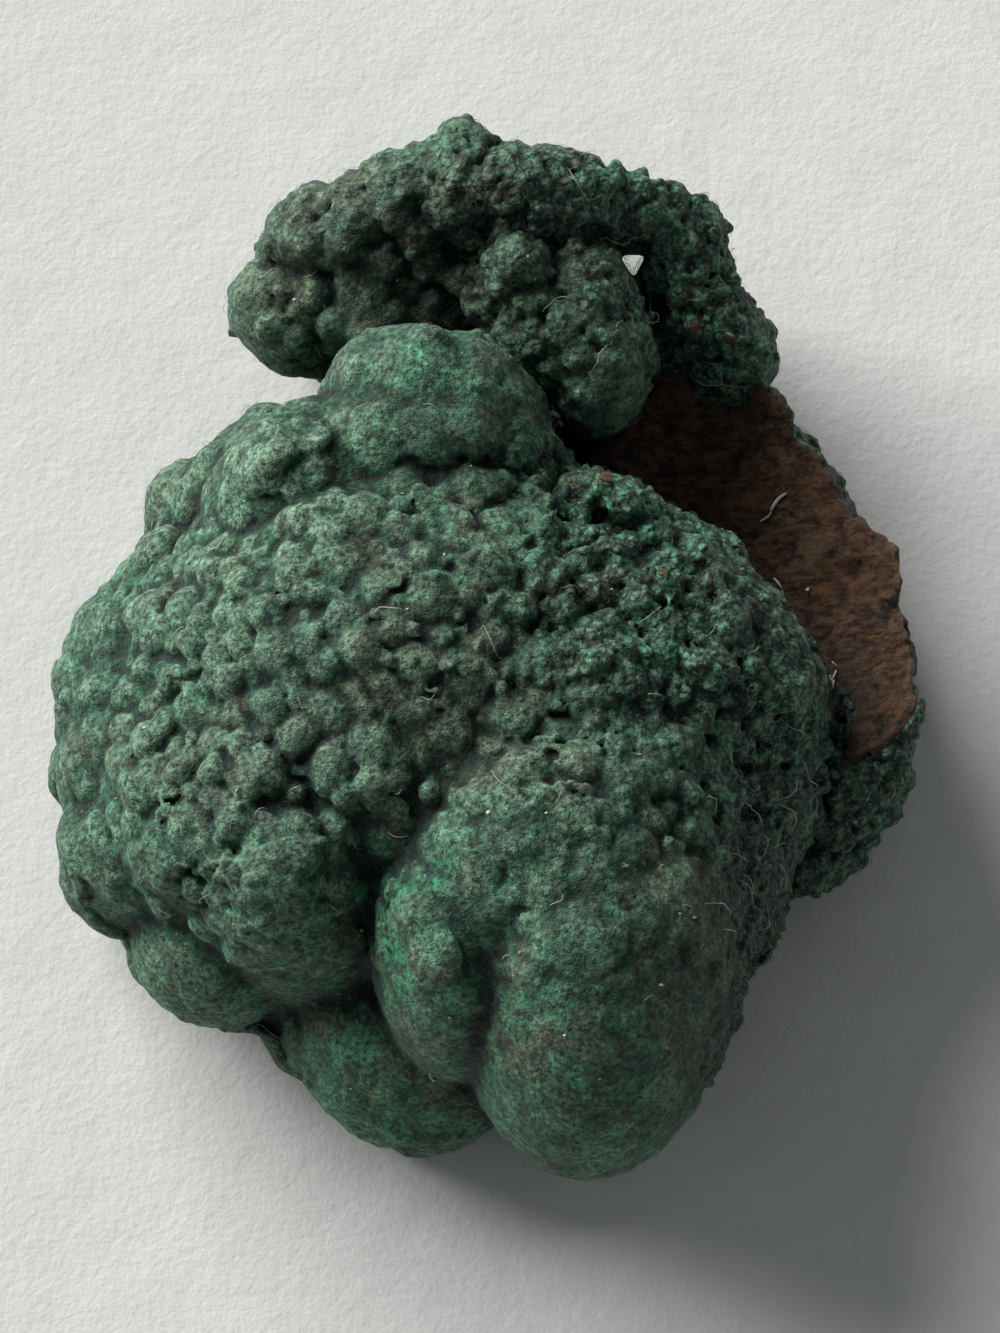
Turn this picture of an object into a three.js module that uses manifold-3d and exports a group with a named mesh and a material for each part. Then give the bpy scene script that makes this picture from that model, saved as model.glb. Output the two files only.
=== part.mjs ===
// Malachite specimen: one naturally grown, botryoidal (grape-like) lump of green malachite.
// A thick pebbly mass with a smooth double "thumb" folded over its front, an arm that curls
// round its upper edge, and a thin wall on the right, standing off the ground like a wing,
// whose hollow inner face is brown iron oxide. It grew as one piece on rock and is cut off
// flat underneath, so it is one solid.
//
// Millimetres, +Z up. The origin is under the middle of the specimen, on the flat base.
// +X is the side with the brown wall, and +Y is the side with the arm.

import * as THREE from "three";
import { mergeVertices } from "three/addons/utils/BufferGeometryUtils.js";
import Module from "manifold-3d";

// ---- driving dimensions (mm) ----
const SCALE = 1.0; // overall size; 1 gives a specimen about 50 x 64 x 27
const BASE_Z = 0; // height of the flat cut the specimen rests on
const FACET = 2.6; // typical length of a facet's edge on a lobe
const MIN_DETAIL = 1; // fewest subdivisions of a small lobe
const MAX_DETAIL = 9; // most subdivisions of a large swell
const PINHOLE_WIDTH = 1.3; // across the small three-cornered hole through the rough rim

// Each lobe is an ellipsoid: centre x, y, z, half-lengths along its own x, y and z, and the
// angle in degrees that it is turned about Z.

// Main mass: broad swells that fill the body, the domes along its upper edge, the
// lobes along its left edge, the folded lower-left lobes, the low bottom lobe, the long
// double thumb that lies over the front, and the pebbly right flank.
const MASS = [
  [-3.34, -3.01, 10.50, 17.34, 15.19, 16.00, 0],
  [-13.89, -5.09, 8.50, 9.82, 11.98, 12.00, 0],
  [-7.24, 7.26, 9.00, 10.33, 6.38, 13.50, 20],
  [7.91, -0.70, 10.20, 9.34, 7.58, 14.00, 0],
  [11.96, -4.25, 13.40, 5.99, 5.59, 10.00, 0],
  [6.26, -5.64, 16.00, 7.98, 4.31, 10.00, 0],
  [6.19, -17.15, 10.50, 7.01, 9.39, 14.00, 0],
  [-8.86, -15.62, 7.50, 9.30, 5.92, 11.00, 0],
  [16.06, -6.15, 5.50, 4.01, 6.04, 11.00, 0],
  [-3.12, 11.97, 17.80, 5.87, 4.19, 7.50, -8],
  [-3.01, 8.48, 17.00, 6.33, 2.86, 8.00, 0],
  [0.10, 10.44, 17.30, 3.34, 2.71, 6.50, -30],
  [-4.78, 9.29, 14.80, 7.83, 4.01, 9.00, 8],
  [-11.05, 7.10, 16.80, 3.91, 4.05, 7.50, 0],
  [-13.75, 7.41, 13.38, 2.44, 3.19, 4.12, 20],
  [-7.79, 2.51, 19.00, 3.98, 3.14, 6.00, 0],
  [-16.22, 7.88, 9.00, 3.19, 3.64, 6.50, -38],
  [-12.65, 11.12, 10.50, 2.47, 2.73, 6.00, -35],
  [-17.89, 2.97, 11.15, 3.04, 3.77, 4.85, -35],
  [-21.21, -0.76, 11.07, 2.79, 3.29, 4.43, -10],
  [-21.99, -4.08, 11.35, 2.67, 2.92, 4.15, 0],
  [-22.05, -7.90, 11.85, 2.77, 2.77, 4.15, 0],
  [-20.77, -13.05, 10.57, 3.46, 4.17, 5.43, 12],
  [-18.09, -9.31, 14.70, 3.42, 3.88, 5.30, 0],
  [-10.86, -15.97, 15.30, 5.21, 5.14, 8.50, -15],
  [-15.63, -14.18, 13.50, 4.45, 3.95, 7.00, -30],
  [-15.70, -18.31, 9.04, 4.84, 4.07, 6.46, -30],
  [-13.44, -13.56, 15.40, 4.08, 3.12, 7.00, -10],
  [-12.57, -10.66, 14.00, 6.40, 4.34, 9.00, 0],
  [-16.32, -11.63, 14.10, 3.76, 3.49, 6.50, 0],
  [-16.82, -13.54, 14.80, 3.41, 2.89, 5.40, 0],
  [-4.43, -23.18, 6.00, 7.08, 5.66, 7.50, -28],
  [-1.92, -19.24, 14.90, 4.52, 7.41, 9.50, 6],
  [-0.90, -15.52, 16.40, 4.40, 4.54, 9.00, 8],
  [6.00, -19.63, 14.00, 8.04, 12.54, 13.00, 0],
  [6.11, -11.81, 16.60, 8.48, 7.44, 10.00, 0],
  [1.70, -13.26, 17.10, 5.64, 5.51, 9.50, -22],
  [3.27, -15.64, 16.90, 5.40, 5.18, 10.00, 0],
  [10.06, -18.68, 15.00, 4.41, 5.97, 9.00, 0],
  [-5.46, -11.29, 17.60, 2.59, 3.36, 7.00, 0],
  [10.69, 0.34, 14.50, 4.61, 3.72, 8.00, -30],
  [15.93, -3.42, 12.50, 3.35, 3.54, 7.50, 0],
  [15.60, -8.90, 10.60, 3.70, 5.05, 7.00, 0],
  [13.87, -15.02, 11.50, 3.44, 4.42, 6.50, 0],
  [7.83, 5.18, 15.00, 4.33, 1.91, 8.00, -30],
  [3.78, 16.80, -0.50, 7.36, 4.82, 6.00, -25],
  [18.93, -5.60, 2.00, 5.67, 5.01, 9.00, 0],
  [12.66, 24.29, 2.00, 2.69, 2.78, 9.00, 0],
];

// Arm: the lumpy branch that curls round the upper edge, with its pointed tip, the
// round bump, the nose-shaped lobe over the bowl and the rough rim on the right.
const ARM = [
  [-9.19, 23.84, 8.00, 4.08, 3.59, 10.00, 0],
  [-2.88, 25.25, 8.50, 5.10, 3.46, 12.00, 0],
  [3.72, 23.67, 8.50, 5.40, 4.18, 12.00, 0],
  [9.46, 24.71, 7.00, 4.34, 4.00, 9.50, 0],
  [-3.45, 21.04, 9.50, 4.17, 2.39, 9.00, 0],
  [-6.57, 20.90, 11.00, 2.73, 2.11, 7.00, 0],
  [0.13, 20.21, 10.80, 2.61, 3.00, 8.00, 0],
  [-9.09, 18.59, 9.50, 1.78, 1.27, 5.00, 0],
  [-10.89, 19.47, 12.58, 2.95, 3.12, 3.92, -25],
  [-13.05, 20.64, 12.09, 1.60, 1.98, 2.41, 0],
  [-8.02, 23.07, 16.78, 2.45, 2.38, 3.22, 0],
  [-10.42, 22.77, 14.87, 1.94, 1.94, 2.63, 0],
  [-5.04, 24.42, 17.50, 2.68, 2.61, 3.50, 0],
  [-1.19, 25.21, 18.36, 2.91, 2.59, 3.64, 0],
  [-1.18, 27.12, 19.50, 1.28, 1.53, 2.00, 0],
  [2.18, 24.16, 18.36, 2.90, 2.59, 3.64, 0],
  [5.21, 24.56, 17.60, 2.68, 2.43, 3.40, 0],
  [-6.88, 18.71, 14.63, 2.22, 2.04, 2.87, 0],
  [-3.09, 19.01, 13.76, 2.11, 1.93, 2.74, 0],
  [2.06, 19.80, 19.40, 1.90, 1.84, 2.60, 0],
  [3.47, 17.48, 15.51, 3.15, 2.95, 3.99, 0],
  [7.08, 15.02, 14.80, 2.56, 3.53, 4.60, -8],
  [1.31, 24.45, 14.20, 5.59, 2.34, 8.00, 0],
  [5.80, 16.60, 15.40, 2.91, 2.75, 4.60, 0],
  [5.96, 18.88, 16.79, 2.79, 2.84, 3.71, 0],
  [8.35, 24.80, 15.45, 3.05, 2.37, 3.55, -25],
  [11.06, 23.46, 12.94, 3.07, 3.25, 4.06, 0],
  [12.49, 20.30, 11.82, 2.37, 3.28, 3.68, 0],
  [15.07, 17.42, 10.20, 2.13, 2.44, 3.10, 25],
  [13.69, 18.89, 11.00, 2.13, 2.67, 3.40, 30],
];

// Outer wall: the raised crust on the right that the bowl is sunk into.
const WALL = [
  [12.35, 18.84, 8.77, 3.94, 3.37, 4.53, 0],
  [14.47, 12.96, 10.53, 3.30, 3.48, 4.27, -30],
  [17.09, 7.89, 11.01, 3.64, 4.05, 4.79, -30],
  [20.28, 2.84, 11.19, 3.73, 4.51, 5.11, -25],
  [21.47, -2.00, 11.20, 3.60, 4.61, 5.10, 0],
  [21.45, -6.71, 8.48, 3.27, 3.93, 4.52, 10],
  [19.31, -10.37, 6.18, 3.75, 3.07, 4.32, 40],
  [23.10, -5.77, 13.30, 1.72, 1.69, 2.20, 0],
  [15.08, 6.76, 2.00, 13.27, 7.86, 12.00, -65],
];

// Skirt: the ring of round lobes low on the sides, set in from the widest outline.
const SKIRT = [
  [21.53, -0.42, 5.53, 3.08, 3.40, 3.00, 0],
  [20.95, 5.22, 4.97, 3.22, 3.04, 3.14, 0],
  [17.70, 9.41, 5.55, 2.57, 2.45, 2.50, 0],
  [15.37, 14.81, 4.35, 3.32, 3.13, 3.22, 0],
  [12.54, 19.25, 5.30, 3.56, 3.31, 3.41, 0],
  [11.16, 24.94, 4.72, 2.61, 2.55, 2.50, 0],
  [6.71, 28.48, 3.50, 3.55, 3.56, 3.38, 0],
  [1.32, 28.40, 5.49, 3.40, 3.68, 3.22, 0],
  [-4.05, 28.18, 3.78, 2.69, 2.76, 2.56, 0],
  [-9.04, 25.86, 3.77, 3.35, 3.30, 3.17, 0],
  [-6.93, 14.55, 4.57, 3.49, 3.50, 3.36, 0],
  [-11.46, 11.81, 3.64, 2.77, 2.78, 2.64, 0],
  [-15.21, 7.71, 4.55, 3.17, 3.12, 3.09, 0],
  [-19.02, 3.84, 4.83, 2.92, 3.05, 2.86, 0],
  [-21.29, -1.17, 5.09, 2.73, 2.67, 2.66, 0],
  [-21.88, -6.40, 4.51, 3.19, 3.01, 3.13, 0],
  [-21.23, -11.76, 4.62, 3.12, 3.37, 3.07, 0],
  [-17.89, -15.81, 4.19, 3.11, 2.93, 3.09, 0],
  [-13.44, -18.69, 4.50, 2.69, 2.94, 2.66, 0],
  [-9.08, -21.57, 4.35, 3.27, 3.21, 3.26, 0],
  [-4.84, -24.78, 5.39, 2.84, 2.78, 2.87, 0],
  [5.32, -26.36, 4.71, 2.56, 2.62, 2.57, 0],
  [9.78, -23.39, 3.94, 3.21, 3.46, 3.17, 0],
  [11.91, -18.63, 4.54, 3.10, 2.79, 3.05, 0],
  [14.12, -13.86, 4.59, 2.64, 2.71, 2.61, 0],
  [17.73, -9.85, 4.20, 3.25, 2.93, 3.21, 0],
  [20.86, -5.33, 3.64, 3.21, 3.21, 3.13, 0],
];

// The bowl in the wall: its inner face is the brown, concave side of the crust.
const BOWL = [
  [14.32, 3.24, 16.50, 13.65, 10.78, 9.50, -65],
  [12.24, 10.97, 16.00, 6.71, 5.90, 8.00, -50],
];

// The hollow under the rough rim and the wall, where the crust stands off what it rests on.
const UNDERCUT = [
  [9.77, 29.27, 8.00, 6.64, 4.53, 16.00, 0],
  [21.33, 22.77, 0.00, 20.31, 11.69, 8.00, -62],
  [12.79, 30.61, 0.00, 9.29, 6.81, 11.00, -20],
];

// The three-cornered pinhole through that rim, from its lower to its upper end.
const PINHOLE_FROM = [9.30, 27.20, 0.00];
const PINHOLE_TO = [8.73, 20.07, 20.00];

// ---- shapes ----
const wasm = await Module();
wasm.setup();

// A closed three.js geometry as a solid that can be joined and cut.
function solid(geometry) {
  geometry.deleteAttribute("normal");
  geometry.deleteAttribute("uv");
  const merged = mergeVertices(geometry, 1e-4);
  return new wasm.Manifold(
    new wasm.Mesh({
      numProp: 3,
      vertProperties: new Float32Array(merged.attributes.position.array),
      triVerts: new Uint32Array(merged.index.array),
    }),
  );
}

// One lobe, with facets of about the same size whatever the lobe's own size.
function lobe([x, y, z, a, b, c, turn], facet = FACET) {
  const size = Math.cbrt(a * b * c);
  const detail = Math.round((1.05 * size) / facet);
  const g = new THREE.IcosahedronGeometry(
    1,
    Math.min(MAX_DETAIL, Math.max(MIN_DETAIL, detail)),
  );
  g.scale(a, b, c);
  g.rotateZ(THREE.MathUtils.degToRad(turn));
  g.translate(x, y, z);
  return solid(g);
}

function joined(lobes) {
  return lobes.map((l) => lobe(l)).reduce((sum, s) => sum.add(s));
}

// Everything below the base plane, as one block wider than the specimen.
function belowBase() {
  const g = new THREE.BoxGeometry(90, 90, 30);
  g.translate(0, 0, BASE_Z - 15);
  return solid(g);
}

// A three-sided prism along the pinhole's axis.
function pinhole() {
  const from = new THREE.Vector3(...PINHOLE_FROM);
  const to = new THREE.Vector3(...PINHOLE_TO);
  const along = to.clone().sub(from);
  const g = new THREE.CylinderGeometry(
    PINHOLE_WIDTH / 2,
    PINHOLE_WIDTH / 2,
    along.length() + 10,
    3,
  );
  g.applyQuaternion(
    new THREE.Quaternion().setFromUnitVectors(
      new THREE.Vector3(0, 1, 0),
      along.clone().normalize(),
    ),
  );
  const mid = from.clone().add(to).multiplyScalar(0.5);
  g.translate(mid.x, mid.y, mid.z);
  return solid(g);
}

// ---- the specimen ----
const wall = joined(WALL).add(joined(SKIRT)).subtract(joined(BOWL));
const specimen = joined(MASS)
  .add(joined(ARM))
  .add(wall)
  .subtract(joined(UNDERCUT))
  .subtract(pinhole())
  .subtract(belowBase());

// Only the largest body is kept: cutting may leave a crumb off the wall's edge, or a sliver
// of a void, no wider than a hair, where three lobes meet.
function largest(shape) {
  const bodies = shape.decompose();
  bodies.sort((p, q) => q.volume() - p.volume());
  return bodies[0];
}
const CLEAN = 0.2; // edges left by the joins that are flatter or shorter than this are merged away
const whole = largest(specimen.asOriginal().simplify(CLEAN)).getMesh();
const mesh = largest(
  new wasm.Manifold(
    new wasm.Mesh({
      numProp: 3,
      vertProperties: whole.vertProperties,
      triVerts: whole.triVerts,
    }),
  ),
).getMesh();

const geometry = new THREE.BufferGeometry();
geometry.setAttribute(
  "position",
  new THREE.BufferAttribute(new Float32Array(mesh.vertProperties), 3),
);
geometry.setIndex(new THREE.BufferAttribute(new Uint32Array(mesh.triVerts), 1));
geometry.scale(SCALE, SCALE, SCALE);
geometry.computeVertexNormals();

const malachite = new THREE.MeshStandardMaterial({
  name: "malachite",
  color: new THREE.Color().setRGB(0.055, 0.145, 0.098),
  roughness: 0.85,
  metalness: 0,
});

const malachite_specimen = new THREE.Mesh(geometry, malachite);
malachite_specimen.name = "malachite_specimen";

const part = new THREE.Group();
part.name = "malachite_specimen_part";
part.add(malachite_specimen);

export default part;
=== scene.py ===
"""Malachite specimen: the visual model, camera, light and paper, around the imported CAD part.

Everything is in metres in the CAD frame at the end; the shape itself is worked out in millimetres
on a signed distance grid, meshed with OpenVDB, reduced and given procedural materials.
"""
import math
import time
import bpy
import numpy as np
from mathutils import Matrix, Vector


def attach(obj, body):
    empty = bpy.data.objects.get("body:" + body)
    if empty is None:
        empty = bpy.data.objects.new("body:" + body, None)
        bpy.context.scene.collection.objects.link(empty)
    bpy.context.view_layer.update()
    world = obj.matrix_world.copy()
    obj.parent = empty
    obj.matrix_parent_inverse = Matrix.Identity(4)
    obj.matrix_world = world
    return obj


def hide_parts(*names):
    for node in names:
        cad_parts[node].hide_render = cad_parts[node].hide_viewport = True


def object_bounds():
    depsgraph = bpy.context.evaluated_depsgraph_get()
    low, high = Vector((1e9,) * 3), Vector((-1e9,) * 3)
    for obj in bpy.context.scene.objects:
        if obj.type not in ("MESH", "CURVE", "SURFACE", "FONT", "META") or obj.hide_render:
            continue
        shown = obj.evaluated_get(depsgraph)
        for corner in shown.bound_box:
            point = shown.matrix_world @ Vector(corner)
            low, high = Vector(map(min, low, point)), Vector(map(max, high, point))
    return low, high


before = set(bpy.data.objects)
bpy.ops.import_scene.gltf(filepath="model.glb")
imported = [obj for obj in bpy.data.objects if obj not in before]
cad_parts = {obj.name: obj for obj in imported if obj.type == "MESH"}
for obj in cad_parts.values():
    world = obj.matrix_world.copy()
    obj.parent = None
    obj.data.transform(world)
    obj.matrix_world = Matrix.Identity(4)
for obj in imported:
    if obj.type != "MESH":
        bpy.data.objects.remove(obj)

import openvdb
from mathutils import Matrix, Vector

cad_lo, cad_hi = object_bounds()
cad_lo, cad_hi = [float(t) for t in cad_lo], [float(t) for t in cad_hi]
RNG = np.random.default_rng(20)
START = time.time()


def note(*what):
    print("%.1f s" % (time.time() - START), *what)

MM = 0.001
F4 = np.float32

# ---------------------------------------------------------------- tables, millimetres
# x, y, z, half-axes a, b, c, turn about z in degrees, group
# (m mass, d smooth domes, s shelf at the lower left, t thumb and right shoulder, q folds, a arm, r rim and wall, l skirt)
LOBES = [
    (-3.34, -3.01, 10.50, 17.34, 15.19, 16.00, 0, 'm'),
    (-13.89, -5.09, 8.50, 9.82, 11.98, 12.00, 0, 'm'),
    (-7.24, 7.26, 9.00, 10.33, 6.38, 13.50, 20, 'm'),
    (7.91, -0.70, 10.20, 9.34, 7.58, 14.00, 0, 'm'),
    (11.96, -4.25, 13.40, 5.99, 5.59, 10.00, 0, 't'),
    (6.27, -5.48, 15.40, 7.99, 4.32, 10.00, 0, 't'),
    (6.19, -17.15, 10.50, 7.01, 9.39, 14.00, 0, 'm'),
    (-8.86, -15.62, 7.50, 9.30, 5.92, 11.00, 0, 'm'),
    (16.06, -6.15, 5.50, 4.01, 6.04, 11.00, 0, 'm'),
    (-3.12, 11.97, 17.80, 5.87, 4.19, 7.50, -8, 'd'),
    (-3.01, 8.48, 17.00, 6.33, 2.86, 8.00, 0, 'd'),
    (0.10, 10.44, 17.30, 3.34, 2.71, 6.50, -30, 'd'),
    (-4.78, 9.29, 14.80, 7.83, 4.01, 9.00, 8, 'd'),
    (-11.05, 7.10, 16.80, 3.91, 4.05, 7.50, 0, 'd'),
    (-13.75, 7.41, 13.38, 2.44, 3.19, 4.12, 20, 'd'),
    (-7.79, 2.51, 19.00, 3.98, 3.14, 6.00, 0, 'm'),
    (-16.22, 7.88, 9.00, 3.19, 3.64, 6.50, -38, 'm'),
    (-12.65, 11.12, 10.50, 2.47, 2.73, 6.00, -35, 'm'),
    (-17.89, 2.97, 11.15, 3.04, 3.77, 4.85, -35, 'm'),
    (-21.21, -0.76, 11.07, 2.79, 3.29, 4.43, -10, 'm'),
    (-21.99, -4.08, 11.35, 2.67, 2.92, 4.15, 0, 'm'),
    (-22.05, -7.90, 11.85, 2.77, 2.77, 4.15, 0, 'm'),
    (-20.77, -13.05, 10.57, 3.46, 4.17, 5.43, 12, 'm'),
    (-18.09, -9.31, 14.70, 3.42, 3.88, 5.30, 0, 'm'),
    (-10.86, -15.97, 15.30, 5.21, 5.14, 8.50, -15, 's'),
    (-15.63, -14.18, 13.50, 4.45, 3.95, 7.00, -30, 's'),
    (-15.70, -18.31, 9.04, 4.84, 4.07, 6.46, -30, 'q'),
    (-13.44, -13.56, 15.40, 4.08, 3.12, 7.00, -10, 's'),
    (-12.57, -10.66, 14.00, 6.40, 4.34, 9.00, 0, 's'),
    (-16.32, -11.63, 14.10, 3.76, 3.49, 6.50, 0, 's'),
    (-16.82, -13.54, 14.80, 3.41, 2.89, 5.40, 0, 's'),
    (-4.43, -23.18, 6.00, 7.08, 5.66, 7.50, -28, 'q'),
    (-1.92, -19.24, 14.90, 4.52, 7.41, 9.50, 6, 'q'),
    (-0.45, -16.92, 16.20, 4.40, 4.93, 9.00, 8, 't'),
    (6.01, -19.53, 13.50, 8.06, 12.57, 13.00, 0, 't'),
    (6.12, -11.64, 15.90, 8.50, 7.46, 10.00, 0, 't'),
    (1.70, -13.09, 16.40, 5.65, 5.53, 9.50, -22, 't'),
    (3.28, -15.41, 15.90, 5.42, 5.20, 10.00, 0, 't'),
    (10.06, -18.68, 15.00, 4.41, 5.97, 9.00, 0, 't'),
    (-5.46, -11.29, 17.60, 2.59, 3.36, 7.00, 0, 's'),
    (10.69, 0.34, 14.50, 4.61, 3.72, 8.00, -30, 'm'),
    (15.93, -3.42, 12.50, 3.35, 3.54, 7.50, 0, 't'),
    (15.60, -8.90, 10.60, 3.70, 5.05, 7.00, 0, 't'),
    (13.87, -15.02, 11.50, 3.44, 4.42, 6.50, 0, 'm'),
    (7.83, 5.18, 15.00, 4.33, 1.91, 8.00, -30, 'm'),
    (3.78, 16.80, -0.50, 7.36, 4.82, 6.00, -25, 'm'),
    (-9.19, 23.84, 8.00, 4.08, 3.59, 10.00, 0, 'a'),
    (-2.88, 25.25, 8.50, 5.10, 3.46, 12.00, 0, 'a'),
    (3.72, 23.67, 8.50, 5.40, 4.18, 12.00, 0, 'a'),
    (9.46, 24.71, 7.00, 4.34, 4.00, 9.50, 0, 'a'),
    (-3.45, 21.04, 9.50, 4.17, 2.39, 9.00, 0, 'a'),
    (-6.57, 20.90, 11.00, 2.73, 2.11, 7.00, 0, 'a'),
    (0.13, 20.21, 10.80, 2.61, 3.00, 8.00, 0, 'a'),
    (-9.09, 18.59, 9.50, 1.78, 1.27, 5.00, 0, 'a'),
    (-10.89, 19.47, 12.58, 2.95, 3.12, 3.92, -25, 'a'),
    (-13.05, 20.64, 12.09, 1.60, 1.98, 2.41, 0, 'a'),
    (-8.02, 23.07, 16.78, 2.45, 2.38, 3.22, 0, 'a'),
    (-10.42, 22.77, 14.87, 1.94, 1.94, 2.63, 0, 'a'),
    (-5.04, 24.42, 17.50, 2.68, 2.61, 3.50, 0, 'a'),
    (-1.19, 25.21, 18.36, 2.91, 2.59, 3.64, 0, 'a'),
    (-1.18, 27.12, 19.50, 1.28, 1.53, 2.00, 0, 'a'),
    (2.18, 24.16, 18.36, 2.90, 2.59, 3.64, 0, 'a'),
    (5.21, 24.56, 17.60, 2.68, 2.43, 3.40, 0, 'a'),
    (-6.88, 18.71, 14.63, 2.22, 2.04, 2.87, 0, 'a'),
    (-3.09, 19.01, 13.76, 2.11, 1.93, 2.74, 0, 'a'),
    (2.06, 19.80, 19.40, 1.90, 1.84, 2.60, 0, 'a'),
    (3.47, 17.48, 15.51, 3.15, 2.95, 3.99, 0, 'a'),
    (7.08, 15.02, 14.80, 2.56, 3.53, 4.60, -8, 'a'),
    (1.31, 24.45, 14.20, 5.59, 2.34, 8.00, 0, 'a'),
    (5.80, 16.60, 15.40, 2.91, 2.75, 4.60, 0, 'a'),
    (5.96, 18.88, 16.79, 2.79, 2.84, 3.71, 0, 'a'),
    (8.35, 24.80, 15.45, 3.05, 2.37, 3.55, -25, 'a'),
    (11.06, 23.46, 12.94, 3.07, 3.25, 4.06, 0, 'a'),
    (12.49, 20.30, 11.82, 2.37, 3.28, 3.68, 0, 'a'),
    (15.07, 17.42, 10.20, 2.13, 2.44, 3.10, 25, 'a'),
    (13.69, 18.89, 11.00, 2.13, 2.67, 3.40, 30, 'a'),
    (12.35, 18.84, 8.77, 3.94, 3.37, 4.53, 0, 'r'),
    (14.47, 12.96, 10.53, 3.30, 3.48, 4.27, -30, 'r'),
    (17.09, 7.89, 11.01, 3.64, 4.05, 4.79, -30, 'r'),
    (20.28, 2.84, 11.19, 3.73, 4.51, 5.11, -25, 'r'),
    (21.47, -2.00, 11.20, 3.60, 4.61, 5.10, 0, 'r'),
    (21.45, -6.71, 8.48, 3.27, 3.93, 4.52, 10, 'r'),
    (19.31, -10.37, 6.18, 3.75, 3.07, 4.32, 40, 'r'),
    (23.10, -5.77, 13.30, 1.72, 1.69, 2.20, 0, 'r'),
    (15.08, 6.76, 2.00, 13.27, 7.86, 12.00, -65, 'r'),
    (18.93, -5.60, 2.00, 5.67, 5.01, 9.00, 0, 'm'),
    (12.66, 24.29, 2.00, 2.69, 2.78, 9.00, 0, 'm'),
    (21.53, -0.42, 5.53, 3.08, 3.40, 3.00, 0, 'l'),
    (20.95, 5.22, 4.97, 3.22, 3.04, 3.14, 0, 'l'),
    (17.70, 9.41, 5.55, 2.57, 2.45, 2.50, 0, 'l'),
    (15.37, 14.81, 4.35, 3.32, 3.13, 3.22, 0, 'l'),
    (12.54, 19.25, 5.30, 3.56, 3.31, 3.41, 0, 'l'),
    (11.16, 24.94, 4.72, 2.61, 2.55, 2.50, 0, 'l'),
    (6.71, 28.48, 3.50, 3.55, 3.56, 3.38, 0, 'l'),
    (1.32, 28.40, 5.49, 3.40, 3.68, 3.22, 0, 'l'),
    (-4.05, 28.18, 3.78, 2.69, 2.76, 2.56, 0, 'l'),
    (-9.04, 25.86, 3.77, 3.35, 3.30, 3.17, 0, 'l'),
    (-6.93, 14.55, 4.57, 3.49, 3.50, 3.36, 0, 'l'),
    (-11.46, 11.81, 3.64, 2.77, 2.78, 2.64, 0, 'l'),
    (-15.21, 7.71, 4.55, 3.17, 3.12, 3.09, 0, 'l'),
    (-19.02, 3.84, 4.83, 2.92, 3.05, 2.86, 0, 'l'),
    (-21.29, -1.17, 5.09, 2.73, 2.67, 2.66, 0, 'l'),
    (-21.88, -6.40, 4.51, 3.19, 3.01, 3.13, 0, 'l'),
    (-21.23, -11.76, 4.62, 3.12, 3.37, 3.07, 0, 'l'),
    (-17.89, -15.81, 4.19, 3.11, 2.93, 3.09, 0, 'l'),
    (-13.44, -18.69, 4.50, 2.69, 2.94, 2.66, 0, 'l'),
    (-9.08, -21.57, 4.35, 3.27, 3.21, 3.26, 0, 'l'),
    (-4.84, -24.78, 5.39, 2.84, 2.78, 2.87, 0, 'l'),
    (5.32, -26.36, 4.71, 2.56, 2.62, 2.57, 0, 'l'),
    (9.78, -23.39, 3.94, 3.21, 3.46, 3.17, 0, 'l'),
    (11.91, -18.63, 4.54, 3.10, 2.79, 3.05, 0, 'l'),
    (14.12, -13.86, 4.59, 2.64, 2.71, 2.61, 0, 'l'),
    (17.73, -9.85, 4.20, 3.25, 2.93, 3.21, 0, 'l'),
    (20.86, -5.33, 3.64, 3.21, 3.21, 3.13, 0, 'l'),
]
BOWLS = ((14.32, 3.24, 16.50, 13.65, 10.78, 9.50, -65),
         (12.24, 10.97, 16.00, 6.71, 5.90, 8.00, -50))
UNDERCUTS = ((9.77, 29.27, 8.00, 6.64, 4.53, 16.00, 0),
             (21.33, 22.77, 0.00, 20.31, 11.69, 8.00, -62),
             (12.79, 30.61, 0.00, 9.29, 6.81, 11.00, -20))
PIN = ((9.30, 27.20, 0.00), (8.73, 20.07, 20.00))

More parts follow.
